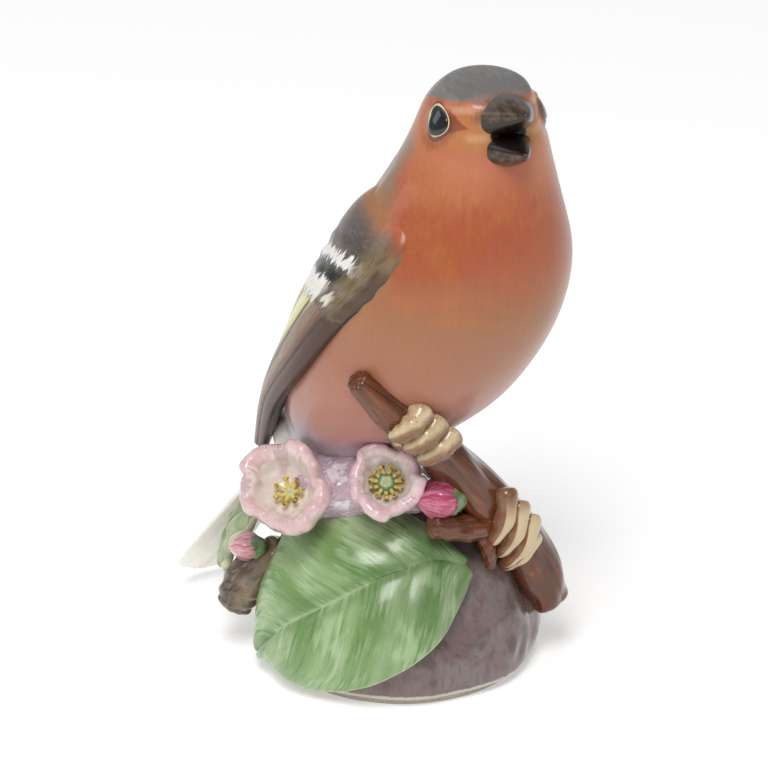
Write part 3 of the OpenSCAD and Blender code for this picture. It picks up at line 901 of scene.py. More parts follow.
@dataclass
class Beak:
    """Open beak: two stubby curved halves with a dark gape."""

    sides: int = 28
    steps: int = 20
    upper: tuple = ((3.6, 3.5), (10.3, 5.6), 3.8, 2.2, 2.3, 0.1)
    lower: tuple = ((4.2, 0.5), (10.2, 1.5), 3.3, 1.9, 2.1, -0.1)

    @staticmethod
    def place(ahead: float, left: float, up: float) -> Vector:
        """Offset from the head's centre: ahead along the beak, to the bird's left, and up."""
        turn = math.radians(-BEAK_TURN)
        return Vector((math.sin(turn) * ahead + math.cos(turn) * left,
                       -math.cos(turn) * ahead + math.sin(turn) * left, up))

    def half(self, name: str, inner: float, start: tuple, end: tuple, wide: float, above: float,
             below: float, bow: float) -> bpy.types.Object:
        """Model one half.

        Args:
            name: Name of the piece.
            inner: 1 if the gape is above it, -1 if it is below.
            start: How far ahead and up its base is.
            end: How far ahead and up its tip is.
            wide: Half-width at the base.
            above: Height above its middle line at the base.
            below: Depth below its middle line at the base.
            bow: Rise of its middle line half way along.

        Returns:
            The finished half.
        """
        slope = math.atan2(end[1] - start[1], end[0] - start[0])
        rings = []
        for k in range(self.steps + 1):
            t = (k / self.steps) ** 0.75
            taper = math.sqrt(1 - t ** 10 * 0.97) * (1 - 0.86 * t ** 1.1)
            ahead, up = mix(start[0], end[0], t), mix(start[1], end[1], t) + bow * 4 * t * (1 - t)
            ring = []
            for i in range(self.sides):
                turn = math.tau * i / self.sides
                c, q = math.cos(turn), math.sin(turn)
                if q * inner > 0:
                    c, q = (math.copysign(abs(part) ** 0.6, part) for part in (c, q))
                high = q * (above if q > 0 else below) * (taper + 0.06 * t) * (1 + 0.06 * abs(q) ** 8)
                ring.append(HEAD + self.place(ahead - high * math.sin(slope), c * wide * taper,
                                              up + high * math.cos(slope)))
            rings.append(ring)
        return loft(name, rings, 1)

    def build(self) -> None:
        """Model and paint both halves."""
        for name, size, node, inner in (("upper_bill", self.upper, "upper_beak", -1.0),
                                        ("lower_bill", self.lower, "lower_beak", 1.0)):
            bill = self.half(name, inner, *size)
            settle(bill, self.paint(f"{name}_glaze", inner), "beak_glaze", node)

    def paint(self, name: str, inner: float) -> bpy.types.Material:
        """Horn brown; inside the gape, on the side that inner says, the mouth's dark colour is deepened to
        near-black as painted shade.
        """
        p = Palette(name, Glaze(0.32, 0.4, 0.12, 0.06, 0.6))
        lines = p.grain(p.stretched(p.placed(-HEAD, BEAK_TURN), (1.8, 0.4, 1.4)), 1.3, 4.0, 0.6)
        _, s, u = p.lie()
        p.colour = "3f2d23"
        p.lay("6a5442", lines.over(0.54, 0.1) * 0.7)
        p.lay("251912", lines.under(0.43, 0.08) * 0.7)
        # painted shade: the inside of the gape near-black
        p.lay("140c09", (s * inner + lines * 0.15).over(0.32, 0.12) * u.under(0.97, 0.02) * 0.92)
        p.lay("6b625c", s.over(0.2, 0.3) * (u + lines * 0.3).under(0.52, 0.12) * (0.5 - inner * 0.5) * 0.6)
        return p.fire(lines)


def quill(c: Number, u: Number) -> Number:
    """Count of quills, in half turns, at a place on a wing: cosine round it and share along it."""
    return (c - (1.0 - u) * 0.55) * (1.15 - u * 0.5) * (6.2 / math.pi)


@dataclass
class Wings:
    """Two folded wings with feathers in relief."""

    thick: float = 1.4
    front: tuple = ((7.8, -6.2, 54.3), (10.7, -8.6, 50.5), (12.0, -6.7, 45.5), (12.5, -1.9, 40.3),
                    (11.6, 3.5, 33.8), (8.6, 9.6, 27.2), (3.4, 15.9, 18.3))
    back: tuple = ((4.4, -3.6, 54.6), (4.0, 1.2, 50.8), (3.9, 4.4, 45.8), (3.7, 7.7, 39.6),
                   (3.3, 10.6, 33), (2.8, 13.8, 26), (2.2, 16.4, 19.6))
    steps: int = 40
    sides: int = 36

    def rings(self, side: Side) -> list[list[Vector]]:
        """Rings of a wing from its shoulder to its tip."""
        middle = [[(a + b) / 2 for a, b in zip(f, r)] for f, r in zip(self.front, self.back)]
        rings = []
        for k in range(self.steps + 1):
            u = k / self.steps
            f, b = Vector(along(self.front, u)), Vector(along(self.back, u))
            centre, half = (f + b) / 2, (f - b) / 2
            out = heading(middle, u).cross(half.normalized()).normalized()
            out *= -1 if out.x < 0 else 1
            swell = (half.length * 0.22 + self.thick * (1 - 0.45 * u)) * mix(0.75, 1, ease(u / 0.3))
            sink = 3.2 * (1 - u) + 0.6
            ring = []
            for i in range(self.sides):
                turn = math.tau * i / self.sides
                c, s = math.cos(turn), math.sin(turn)
                press = (1 - ease(u / 0.40)) * 1.5 * (0.55 + 0.45 * c)
                point = centre + half * c + out * (s * (swell if s > 0 else sink) - press)
                ring.append(Vector((point.x * side.value, point.y, point.z)))
            rings.append(ring)
        return rings

    @staticmethod
    def relief(place: Vector) -> float:
        """Feather edges: scale-like coverts above, long quills below."""
        c, s, u = place
        if s < -0.1:
            return 0.0
        ridges = abs(math.sin(math.pi * quill(c, u)))
        quills = ease((u - 0.46) / 0.08) * (0.20 * ridges ** 0.6 - 0.12)
        scallop = math.sin(math.tau * (u * 15 + 0.7 * c) + 1.2 * abs(math.sin(8 * c)))
        coverts = 0.07 * scallop * ease((0.47 - u) / 0.05) * ease((u - 0.24) / 0.08)
        return quills + coverts

    def build(self) -> None:
        """Model and paint both wings."""
        glaze = self.paint()
        for side in Side:
            wing = loft(f"{side.word}_folded_wing", self.rings(side), 2)
            carve_along(wing, self.relief)
            settle(wing, glaze, "wing_glaze", f"{side.word}_wing")

    def paint(self) -> bpy.types.Material:
        """Grey-brown shoulder, white bars on black, yellow-edged secondaries and brown quills."""
        p = Palette("wing_glaze", Glaze(0.36, 0.30, 0.12, 0.07, 0.6))
        c, s, u = p.lie()
        flat = p.vector(c * 8.0, u * 44.0, 0.0)
        barbs = p.strokes(flat, (1.9, 0.28, 1.0), 1.5, 4.0, 0.65)
        tufts = p.strokes(flat, (1.0, 0.22, 1.0), 1.15, 2.0, 0.5)
        cloud = p.cloud(0.3, 3.0)
        hair = p.strokes(p.spot, (0.5, 0.5, 3.0), 1.6, 4.0, 0.65)
        edge = barbs * 0.09 + tufts * 0.07
        _, y, z = p.axes(p.spot)
        patches, strokes = plumage(p)
        p.colour = "b9603c"
        lay_mantle(p, y, z, patches, strokes)
        shoulder = (u + cloud * 0.07 - c * 0.02).over(0.165, 0.04) * (c + cloud * 0.5).under(0.98, 0.16)
        p.lay("675853", shoulder)
        p.lay("463c38", (u + edge * 0.5).over(0.225, 0.05) * (c + cloud * 0.4).under(0.9, 0.14) * 0.8)
        p.lay("85807a", (hair + 0.5).over(0.56, 0.1) * shoulder * u.under(0.3, 0.04) * 0.3)
        p.lay("9e4a2a", (c + cloud * 0.3).over(0.86, 0.08) * u.band(0.15, 0.27, 0.04) * 0.7)
        bars = u + c * 0.045 + edge
        coverts = bars.band(0.315, 0.50, 0.006)
        p.lay("141412", coverts)
        p.lay("6f6d60", coverts * (barbs + 0.5).over(0.62, 0.05) * 0.55)
        p.lay("f6f2ea", bars.band(0.312, 0.352, 0.006) * c.under(0.76, 0.08) * c.over(-0.98, 0.05))
        second = (u + c * 0.02 + edge * 1.25).band(0.412, 0.478, 0.006) * (c + tufts * 0.4).under(0.42, 0.06)
        p.lay("f6f2ea", second)
        p.lay("bdb8a4", second * (barbs + 0.5).under(0.42, 0.06) * 0.55)
        olive = (c + edge * 1.6).over(0.56 - (u - 0.3) * 0.5, 0.12) * u.band(0.20, 0.47, 0.05)
        p.lay("857253", olive * 0.9)
        p.lay("5b4e38", olive * (barbs + 0.5).over(0.53, 0.08) * 0.7)
        p.lay("4e3729", (c + edge).over(0.90, 0.05) * u.over(0.27, 0.04) * 0.9)
        spot = (u + edge).band(0.425, 0.455, 0.008) * (c + tufts * 0.3).band(0.50, 0.72, 0.05)
        p.lay("f1ece2", spot * 0.85)
        low = (u + edge * 0.8).over(0.485 - c * 0.01, 0.012)
        p.lay("a39170", low)
        vane = abs(quill(c, u).part() - 0.5) * 2.0
        yellow = low * (c + u * 2.2 + tufts * 0.2).under(1.48, 0.10) * u.under(0.80, 0.06)
        p.lay("dcd98f", yellow)
        p.lay("f0edcf", yellow * vane.under(0.35, 0.1) * 0.8)
        brown = low * (c + u * 2.2).over(1.48, 0.14)
        p.lay("84604a", brown)
        p.lay("a3906c", brown * vane.under(0.34, 0.14) * 0.45)
        p.lay("5a3726", brown * (barbs + 0.5).over(0.54, 0.1) * 0.65)
        p.lay("1f1a16", low * vane.over(0.84 + tufts * 0.12, 0.06) * 0.95)
        p.lay("472c20", low * (c + edge + u * 0.10).over(0.80, 0.10) * 0.92)
        p.lay("3d281d", s.under(0.0, 0.10) * u.over(0.35, 0.1) * 0.85)
        p.shade(1.0 + barbs * 0.22 + hair * 0.12)
        return p.fire(barbs + hair)


@dataclass
class Tail:
    """Tail with a pale underside and dark upper feathers."""

    line: tuple = ((10.5, 22.5, 3.8, 3.0), (14.6, 17.2, 4.4, 2.6), (18.8, 11.4, 4.7, 2.0),
                   (22.8, 5.4, 4.5, 1.5), (25.9, 1.7, 2.8, 1.1))
    swing: float = 13.0
    roll: float = 28.0

    def rings(self, steps: int = 30, sides: int = 32) -> list[list[Vector]]:
        """Rings from the rump to the tip."""
        path = [(0.0, row[0], row[1]) for row in self.line]
        root = Vector((0, self.line[0][0], 0))
        turn_all = Matrix.Rotation(math.radians(self.swing), 3, "Z")
        rings = []
        for k in range(steps + 1):
            u = k / steps
            y, z, wide, thick = along(self.line, u)
            ahead = heading(path, u)
            up = Vector((0, ahead.z, -ahead.y))
            t = self.roll * u
            across = Vector((cos_deg(t), 0, 0)) + up * sin_deg(t)
            high = up * cos_deg(t) - Vector((sin_deg(t), 0, 0))
            shrink = 1.0 if u < 0.93 else math.sqrt(max(0.02, 1 - ((u - 0.93) / 0.07) ** 2 * 0.8))
            ring = []
            for i in range(sides):
                c, q = math.cos(math.tau * i / sides), math.sin(math.tau * i / sides)
                deep = q * thick / 2 * (1 - 0.3 * abs(c))
                point = Vector((0, y, z)) + (across * wide * c + high * deep) * shrink
                ring.append(root + turn_all @ (point - root))
            rings.append(ring)
        return rings

    @staticmethod
    def relief(place: Vector) -> float:
        """Long ridges of the feathers, none at the rump."""
        ridge = abs(math.sin(5.2 * place.x)) ** 0.7
        return 0.13 * (ridge - 0.6) * ease((place.z - 0.1) / 0.3)

    def build(self) -> None:
        """Model the tail with its feathers in relief, and paint it."""
        tail = loft("tail_feathers", self.rings(), 2)
        carve_along(tail, self.relief)
        settle(tail, self.paint(), "tail_glaze", "tail")

    def paint(self) -> bpy.types.Material:
        """Ivory below, slate with ivory edges above."""
        p = Palette("tail_glaze", Glaze(0.22, 0.7, 0.05, 0.05, 0.5))
        c, s, u = p.lie()
        flat = p.vector(c * 4.0, u * 26.0, s * 3.0)
        barbs = p.strokes(flat, (2.4, 0.4, 1.0), 1.4, 4.0, 0.65)
        p.colour = "fbf8ec"
        p.lay("e6e1d2", (barbs + 0.5).over(0.58, 0.1) * 0.5)
        p.lay("cfcabf", s.over(0.0, 0.3) * abs(c).under(0.16, 0.1) * 0.3)
        top = (s + barbs * 0.2).under(-0.12, 0.1) * abs(c).under(0.72, 0.06)
        p.lay("4a4a4c", top)
        p.lay("33333a", top * (barbs + 0.5).over(0.52, 0.1) * 0.7)
        p.shade(1.0 + barbs * 0.12)
        return p.fire(barbs)


@dataclass
class Feet:
    """Legs, and toes that grip the branch."""

    flank: tuple = (-0.7, -0.6, 0.2)
    right_shank: tuple = ((-3.8, -3.2, 26.0, 1.3), (-4.2, -5.2, 26.2, 1.1), (-4.6, -6.8, 26.6, 1.0))
    left_shank: tuple = ((2.4, -3.6, 23.2, 1.2), (3.8, -7.0, 19.0, 1.0), (5.4, -9.2, 15.8, 0.9))
    toe_r: float = 0.95

    def grip(self, at: float, sweep: tuple[float, float], lean: float, thick: float) -> list[list[float]]:
        """Path of a toe round the branch.

        Args:
            at: Place along the branch.
            sweep: First and last angle round it.
            lean: How far the toe runs along the branch.
            thick: Radius at the root.

        Returns:
            Stations of the toe.
        """
        flank = Vector(self.flank).normalized()
        path = []
        for k in range(7):
            t = k / 6
            x, y, z, r = along(MAIN_BRANCH, at + lean * t)
            ahead = heading(MAIN_BRANCH, at + lean * t)
            face = (flank - ahead * flank.dot(ahead)).normalized()
            top = face.cross(ahead)
            turn = mix(sweep[0], sweep[1], t)
            centre = Vector((x, y, z)) + (face * cos_deg(turn) + top * sin_deg(turn)) * (r + thick * 0.38)
            path.append([*centre, thick * (1 - 0.5 * t * t)])
        return path

    def toe(self, name: str, path: list[list[float]]) -> bpy.types.Object:
        """Model one toe with its joints swollen."""
        return loft(name, tube_rings(path, 26, 16, lambda turn, u: 1 + 0.07 * cos_deg(900 * u), 0.9), 1)

    def build(self) -> None:
        """Model and paint both legs and their toes."""
        toe_glaze, leg_glaze = self.paint("toe_glaze", "d2b78f"), self.paint("leg_glaze", "b59a72")
        for side, shank in ((Side.RIGHT, self.right_shank), (Side.LEFT, self.left_shank)):
            rings = tube_rings(shank, 12, 20, lambda turn, u: 1 + 0.05 * math.cos(30 * u))
            leg = loft(f"{side.word}_shank", rings, 1)
            settle(leg, leg_glaze, "leg_glaze", f"{side.word}_leg")
        for name, node, places, sweep, lean, share in (
                ("right_foot", "right_front_toes", (0.728, 0.778, 0.828), (-44, 36), 0.015, 1.42),
                ("right_back_toe", "right_hind_toe", (0.76,), (120, 215), -0.02, 0.95),
                ("left_foot", "left_front_toes", (0.385, 0.445, 0.505), (-46, 52), -0.105, 1.22),
                ("left_back_toe", "left_hind_toe", (0.335,), (-30, 60), -0.075, 1.05)):
            toes = [self.toe(name, self.grip(at, sweep, lean, self.toe_r * share)) for at in places]
            foot = join(name, toes)
            settle(foot, toe_glaze, "toe_glaze", node)

    def paint(self, name: str, ground: str) -> bpy.types.Material:
        """Cream-ochre with brown speckle above, a painted highlight along the top and painted shade on the
        flanks and underneath; brown with a pale ridge low down, dark at the tips.
        """
        p = Palette(name, Glaze(0.25, 0.6, 0.06, 0.05, 0.5))
        c, s, u = p.lie()
        spots = p.cells(p.spot, 1.5)
        cloud = p.cloud(0.9, 4.0, 0.65)
        strokes = p.strokes(p.vector(c * 3.0, s * 3.0, u * 7.0), (1.2, 1.2, 0.3), 1.2, 3.0, 0.6)
        p.colour = ground
        p.lay("9b7443", (cloud + 0.5).over(0.50, 0.1) * 0.65)
        p.lay("6f4426", (spots + cloud * 0.5).under(0.17, 0.07) * 0.8)
        # painted shade: the underside of each leg and toe darker brown
        p.lay("63391f", (s + cloud * 0.7).under(-0.10, 0.35) * 0.75)
        # painted shade: both flanks of each leg and toe darker brown
        p.lay("7a4c2a", (abs(c) + cloud * 0.5).over(0.86, 0.10) * 0.75)
        low = p.axes(p.spot)[2].under(20.0, 1.5)
        p.lay("8a5a38", low * 0.85)
        p.lay("5c361f", low * (cloud + strokes * 0.6).under(-0.04, 0.12) * 0.6)
        p.lay("dcc79f", low * (c + strokes * 0.5).over(0.62, 0.12) * 0.85)
        # painted highlight: a pale streaky band along the upper side, above the low part
        p.lay("e4d5b0", (1.0 - low) * (s + strokes).band(0.25, 0.85, 0.2) * 0.5)
        p.lay("4a2c1a", (u + cloud * 0.05).over(0.93, 0.02) * 0.8)
        return p.fire(cloud)


# ---------- the rock and the branch ----------

@dataclass
class Mound:
    """Rock with a rough, streaked surface and a vent hole below."""

    sides: int = 84
    steps: int = 44
    vent_r: float = 1.75

    def build(self) -> None:
        """Model the rock from its vent to its top, paint it, and leave the foot ring bare."""
        rings = [[Vector((r * cos_deg(360 * i / self.sides), r * sin_deg(360 * i / self.sides), z))
                  for i in range(self.sides)]
                 for r, z in ((0.5, 4.0), (self.vent_r, 3.9), (self.vent_r, 1.0), (self.vent_r + 0.1, 0.82),
                              (6.0, 0.8), (10.6, 0.8), (13.1, 0.8))]
        rings += [[ROCK.point(360 * i / self.sides, k / self.steps) for i in range(self.sides)]
                  for k in range(self.steps + 1)]
        rock = loft("rock", rings, 1)
        carve(rock, self.relief)
        settle(rock, self.paint(), "rock_glaze", "mound_shell")
        dress(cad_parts["foot_ring"], self.biscuit())

    @staticmethod
    def relief(point: Vector) -> float:
        """Ridges and hollows of the rock, none on its foot."""
        share = ease((point.z - 1.4) / 2.0)
        slanted = Vector((point.x, point.y, point.z * 0.45))
        ridges = abs(roughen(slanted, 3.4, 7.0))
        return share * (0.5 * roughen(point, 6.0) - 0.50 * ridges + 0.16 * roughen(slanted, 1.2, 2.0))

    def paint(self) -> bpy.types.Material:
        """Mauve-grey and brown streaks with hints of green, a cream line round the foot, and painted shade
        over the underside.
        """
        p = Palette("rock_glaze", Glaze(0.26, 0.6, 0.07, 0.07, 0.6))
        z = p.axes(p.spot)[2]
        streaks = p.strokes(p.spot, (1.0, 1.0, 0.22), 1.1, 5.0, 0.65, 0.6)
        cloud = p.cloud(0.19, 3.0, 0.6, 0.5)
        fine = p.strokes(p.spot, (1.0, 1.0, 0.3), 4.0, 3.0, 0.6)
        p.colour = "7b6866"
        p.lay("55463f", (cloud + streaks * 0.6 + (z - 10.0) * 0.006).over(0.03, 0.12) * 0.9)
        p.lay("8f7d84", (cloud - streaks * 0.8).under(-0.08, 0.10) * 0.75)
        p.lay("6f6f58", (streaks - cloud).over(0.10, 0.08) * 0.55)
        p.lay("6f5560", (streaks + cloud * 0.4).under(-0.10, 0.07) * 0.5)
        p.lay("3f3837", (streaks + fine * 0.5).over(0.20, 0.06) * 0.5)
        p.lay("d8cfc0", (z + streaks * 0.5).under(1.25, 0.12) * 0.8)
        # painted shade: everything below the foot of the rock, its underside, dark grey
        p.lay("3a3532", z.under(0.86, 0.04) * 0.85)
        p.shade(1.0 + fine * 0.30)
        return p.fire(streaks + fine)

    def biscuit(self) -> bpy.types.Material:
        """Bare fired clay of the foot ring."""
        p = Palette("foot_biscuit", Glaze(0.7, 0.0, 0.3, 0.02, 0.8))
        grit = p.grain(p.spot, 3.0, 4.0, 0.7)
        p.colour = "c9bfb2"
        p.lay("8f8478", grit.over(0.58, 0.08) * 0.6)
        return p.fire(grit)


class Wood(Enum):
    """Colours of a woody piece: ground, glow, furrow and ridge."""

    BARK = ("5f3820", "773c1c", "3a2013", "9c6c44")
    STUB = ("8f7960", "72675c", "4b3d31", "b3a183")


@dataclass
class Branch:
    """Branch, side shoot, rootlet and sawn stub, all with bark ridges."""

    side: tuple = ((2.0, -11.5, 17.4, 1.7), (-2.0, -10.6, 17.6, 1.5), (-5.8, -8.9, 18.7, 1.2))
    root: tuple = ((-0.8, -11.2, 16.8, 0.9), (-0.8, -12.0, 15.2, 0.8), (-0.4, -12.0, 13.2, 0.6))
    stub: tuple = ((-8.0, 9.0, 10.5, 2.4), (-10.6, 11.2, 8.2, 2.4), (-12.0, 12.4, 5.4, 1.9))

    @staticmethod
    def knots(turn: float, u: float) -> float:
        """Slow swellings of the branch."""
        return 1 + 0.08 * math.cos(3 * turn + math.radians(500 * u)) * cos_deg(900 * u)

    @staticmethod
    def bark(place: Vector) -> float:
        """Long wavering ridges."""
        c, s, u = place
        turn = math.atan2(s, c)
        wander = 0.8 * math.sin(9 * u + turn) + 0.5 * math.sin(23 * u)
        ridge = abs(math.sin(4 * turn + wander)) ** 0.5
        return 0.10 * (ridge - 0.7) + 0.05 * math.sin(37 * u + 3 * turn)

    def build(self) -> None:
        """Model and paint the woody pieces."""
        bark, stub = self.paint("bark_glaze", Wood.BARK), self.paint("stub_glaze", Wood.STUB)
        for name, node, path, steps, sides, glaze, slot in (
                ("perch_branch", "main_branch", MAIN_BRANCH, 64, 40, bark, "bark_glaze"),
                ("side_shoot", "side_branch", self.side, 24, 28, bark, "bark_glaze"),
                ("thin_root", "rootlet", self.root, 16, 18, bark, "bark_glaze"),
                ("sawn_stub", "cut_stub", self.stub, 22, 32, stub, "stub_glaze")):
            wood = loft(name, tube_rings(path, steps, sides, self.knots, 0.45), 1)
            carve_along(wood, self.bark)
            settle(wood, glaze, slot, node)

    def paint(self, name: str, wood: Wood) -> bpy.types.Material:
        """Bark with a warm glow, dark furrows and pale ridge lines."""
        ground, glow, furrow, ridge = wood.value
        p = Palette(name, Glaze(0.25, 0.65, 0.06, 0.06, 0.6))
        c, s, u = p.lie()
        length = p.vector(c * 2.4, s * 2.4, u * 34.0)
        lines = p.strokes(length, (1.1, 1.1, 0.12), 1.5, 5.0, 0.6, 0.3)
        cloud = p.cloud(0.30, 3.0, 0.6)
        p.colour = ground
        p.lay(glow, (cloud + lines * 0.5).over(0.0, 0.14) * 0.9)
        p.lay(furrow, (lines * 0.8 - cloud * 0.6).under(-0.08, 0.10) * 0.8)
        p.lay(ridge, (lines + cloud * 0.3).over(0.17, 0.06) * 0.45)
        p.shade(1.0 + lines * 0.3)
        return p.fire(lines)


# ---------- leaves ----------

class Green(Enum):
    """Colours of a leaf: ground, deep, light and vein."""

    FRONT = ("7f9f63", "5a7f43", "adc397", "bccd9f")
    PALE = ("8d9c70", "6b8150", "b0bd96", "c6cfa0")
    DARK = ("54773f", "3a5a2c", "7d9a62", "a3b47c")


@dataclass
class Leaves:
    """Big leaf on the front of the rock, and two small ones behind."""

    thick: float = 0.95
    upper: tuple = ((256, 13.4), (245, 16.0), (221, 17.4), (182, 17.2), (154, 15.4),
                    (145, 10.5), (150, 2.8))
    rib: tuple = ((256, 12.8), (239, 13.7), (217, 13.0), (198, 11.2), (180, 8.6), (164, 5.4), (151, 2.4))
    lower: tuple = ((256, 12.0), (247, 10.2), (236, 7.6), (220, 4.9), (202, 2.7), (180, 1.7), (152, 1.9))
    rear_left: tuple = ((-4.4, 10.6, 16.4), (-6.8, 13.2, 15.0), (-8.8, 15.2, 11.8), (-9.8, 15.8, 7.8))
    rear_right: tuple = ((9.2, -1.4, 16.0), (12.2, -3.0, 12.8), (14.0, -5.3, 8.4), (13.6, -7.6, 3.8))
    veins: int = 3

    def vein(self, u: float, v: float) -> float:
        """Share of the way between two side veins, 0 on a vein."""
        return abs(((u - 0.30 * abs(v) ** 1.2) * (self.veins + 1) + 0.5) % 1.0 - 0.5) * 2

    def front_point(self, u: float, w: float) -> Vector:
        """Point of the big leaf at a place on its sheet."""
        v = w * 2 - 1
        rib, edge = along(self.rib, u), along(self.upper if v > 0 else self.lower, u)
        angle, height = (mix(a, b, abs(v)) for a, b in zip(rib, edge))
        belly = 4 * abs(v) * (1 - abs(v))
        lift = 0.8 + 0.5 * sin_deg(180 * u) + 0.5 * belly - 0.5 * v * v
        lift += 0.42 * belly * (self.vein(u, v) ** 0.7 - 0.5) - 0.22 * math.exp(-(v / 0.05) ** 2)
        lift += 0.12 * math.sin(26 * u + 2 * v) * abs(v) ** 3
        return ROCK.over(angle, height, max(0.25, lift))

    def blade(self, rib: Sequence[Sequence[float]], facing: Vector, half: float) -> Shape:
        """Shape of a free-standing leaf.

        Args:
            rib: Stations of the midrib.
            facing: Direction that the leaf faces.
            half: Greatest half-width.

        Returns:
            The shape, for a sheet.
        """
        def shape(u: float, w: float) -> Vector:
            v = w * 2 - 1
            ahead = heading(rib, u)
            side = ahead.cross(facing).normalized()
            out = side.cross(ahead)
            wide = half * (0.12 + 0.88 * sin_deg(180 * (0.04 + 0.9 * u) ** 0.8) ** 0.8)
            wave = 0.25 * cos_deg(360 * (3 * u + abs(v))) - 0.12 * wide * v * v
            wave += 0.2 * (self.vein(u, v) ** 0.6 - 0.5) * abs(v) - 0.2 * math.exp(-(v / 0.08) ** 2)
            return Vector(along(rib, u)) + side * wide * v + out * wave
        return shape

    def build(self) -> None:
        """Model and paint the three leaves."""
        left = self.blade(self.rear_left, Vector((-0.6, 0.7, 0.3)), 3.6)
        right = self.blade(self.rear_right, Vector((0.9, -0.3, 0.4)), 3.2)
        for node, shape, cells, slot, green in (
                ("front_leaf", self.front_point, (84, 56), "leaf_glaze", Green.FRONT),
                ("rear_left_leaf", left, (40, 24), "rear_leaf_glaze", Green.PALE),
                ("rear_right_leaf", right, (40, 24), "dark_leaf_glaze", Green.DARK)):
            leaf = sheet(f"{node}_sheet", cells, shape, self.thick)
            settle(leaf, self.paint(slot, green), slot, node)

    def paint(self, name: str, green: Green) -> bpy.types.Material:
        """Stippled green strokes that follow the side veins, paler veins, a cream edge, and painted shade
        towards the start of each sheet.
        """
        ground, deep, light, vein = green.value
        p = Palette(name, Glaze(0.3, 0.5, 0.17, 0.09, 0.4))
        u, w, _ = p.axes(p.uv())
        v = w * 2.0 - 1.0
        aside = abs(v)
        slant = u - aside * aside * 0.08 - aside * 0.24
        flat = p.vector(slant * 26.0, w * 16.0, 0.0)
        strokes = p.strokes(flat, (1.5, 0.26, 1.0), 1.5, 4.0, 0.65, 0.3)
        stipple = p.strokes(flat, (1.0, 0.5, 1.0), 5.0, 2.0, 0.6)
        cloud = p.cloud(0.20, 2.0)
        between = abs((slant * float(self.veins + 1) + 0.5).part() - 0.5) * 2.0
        p.colour = ground
        p.lay(deep, (strokes + cloud * 0.5 + stipple * 0.3).over(0.05, 0.10) * 0.75)
        p.lay(light, (strokes * 0.8 - cloud * 0.9).under(-0.05, 0.10) * 0.65)
        p.lay(light, between.band(0.10, 0.5, 0.2) * 0.40)
        p.lay(deep, (between + strokes * 0.4).over(0.72, 0.2) * (1.0 - aside) * 0.55)
        p.lay(deep, (aside + strokes * 0.2).band(0.04, 0.13, 0.05) * 0.45)
        p.lay(vein, (between + strokes * 0.3).under(0.06, 0.10) * aside.under(0.80, 0.15) * 0.35)
        p.lay(vein, (aside + strokes * 0.03).under(0.026, 0.03) * 0.5)
        p.lay("d9dcb4", (aside + stipple * 0.03).over(0.975, 0.012) * 0.8)
        # painted shade: darker towards the start of each sheet, which on the big leaf is its stem end; the
        # stipple is random tone
        p.shade(0.74 + (u + cloud * 0.8).over(0.34, 0.25) * 0.32 + stipple * 0.3)
        return p.fire(strokes + stipple)


# ---------- blossoms and buds ----------

class Tint(Enum):
    """Colours of a blossom: petal, blush, shade and heart."""

    RIGHT = ("ecd6d4", "dba7b3", "b08491", "e4c860")
    LEFT = ("ead4cf", "d7a3ab", "a67b87", "ead9a8")


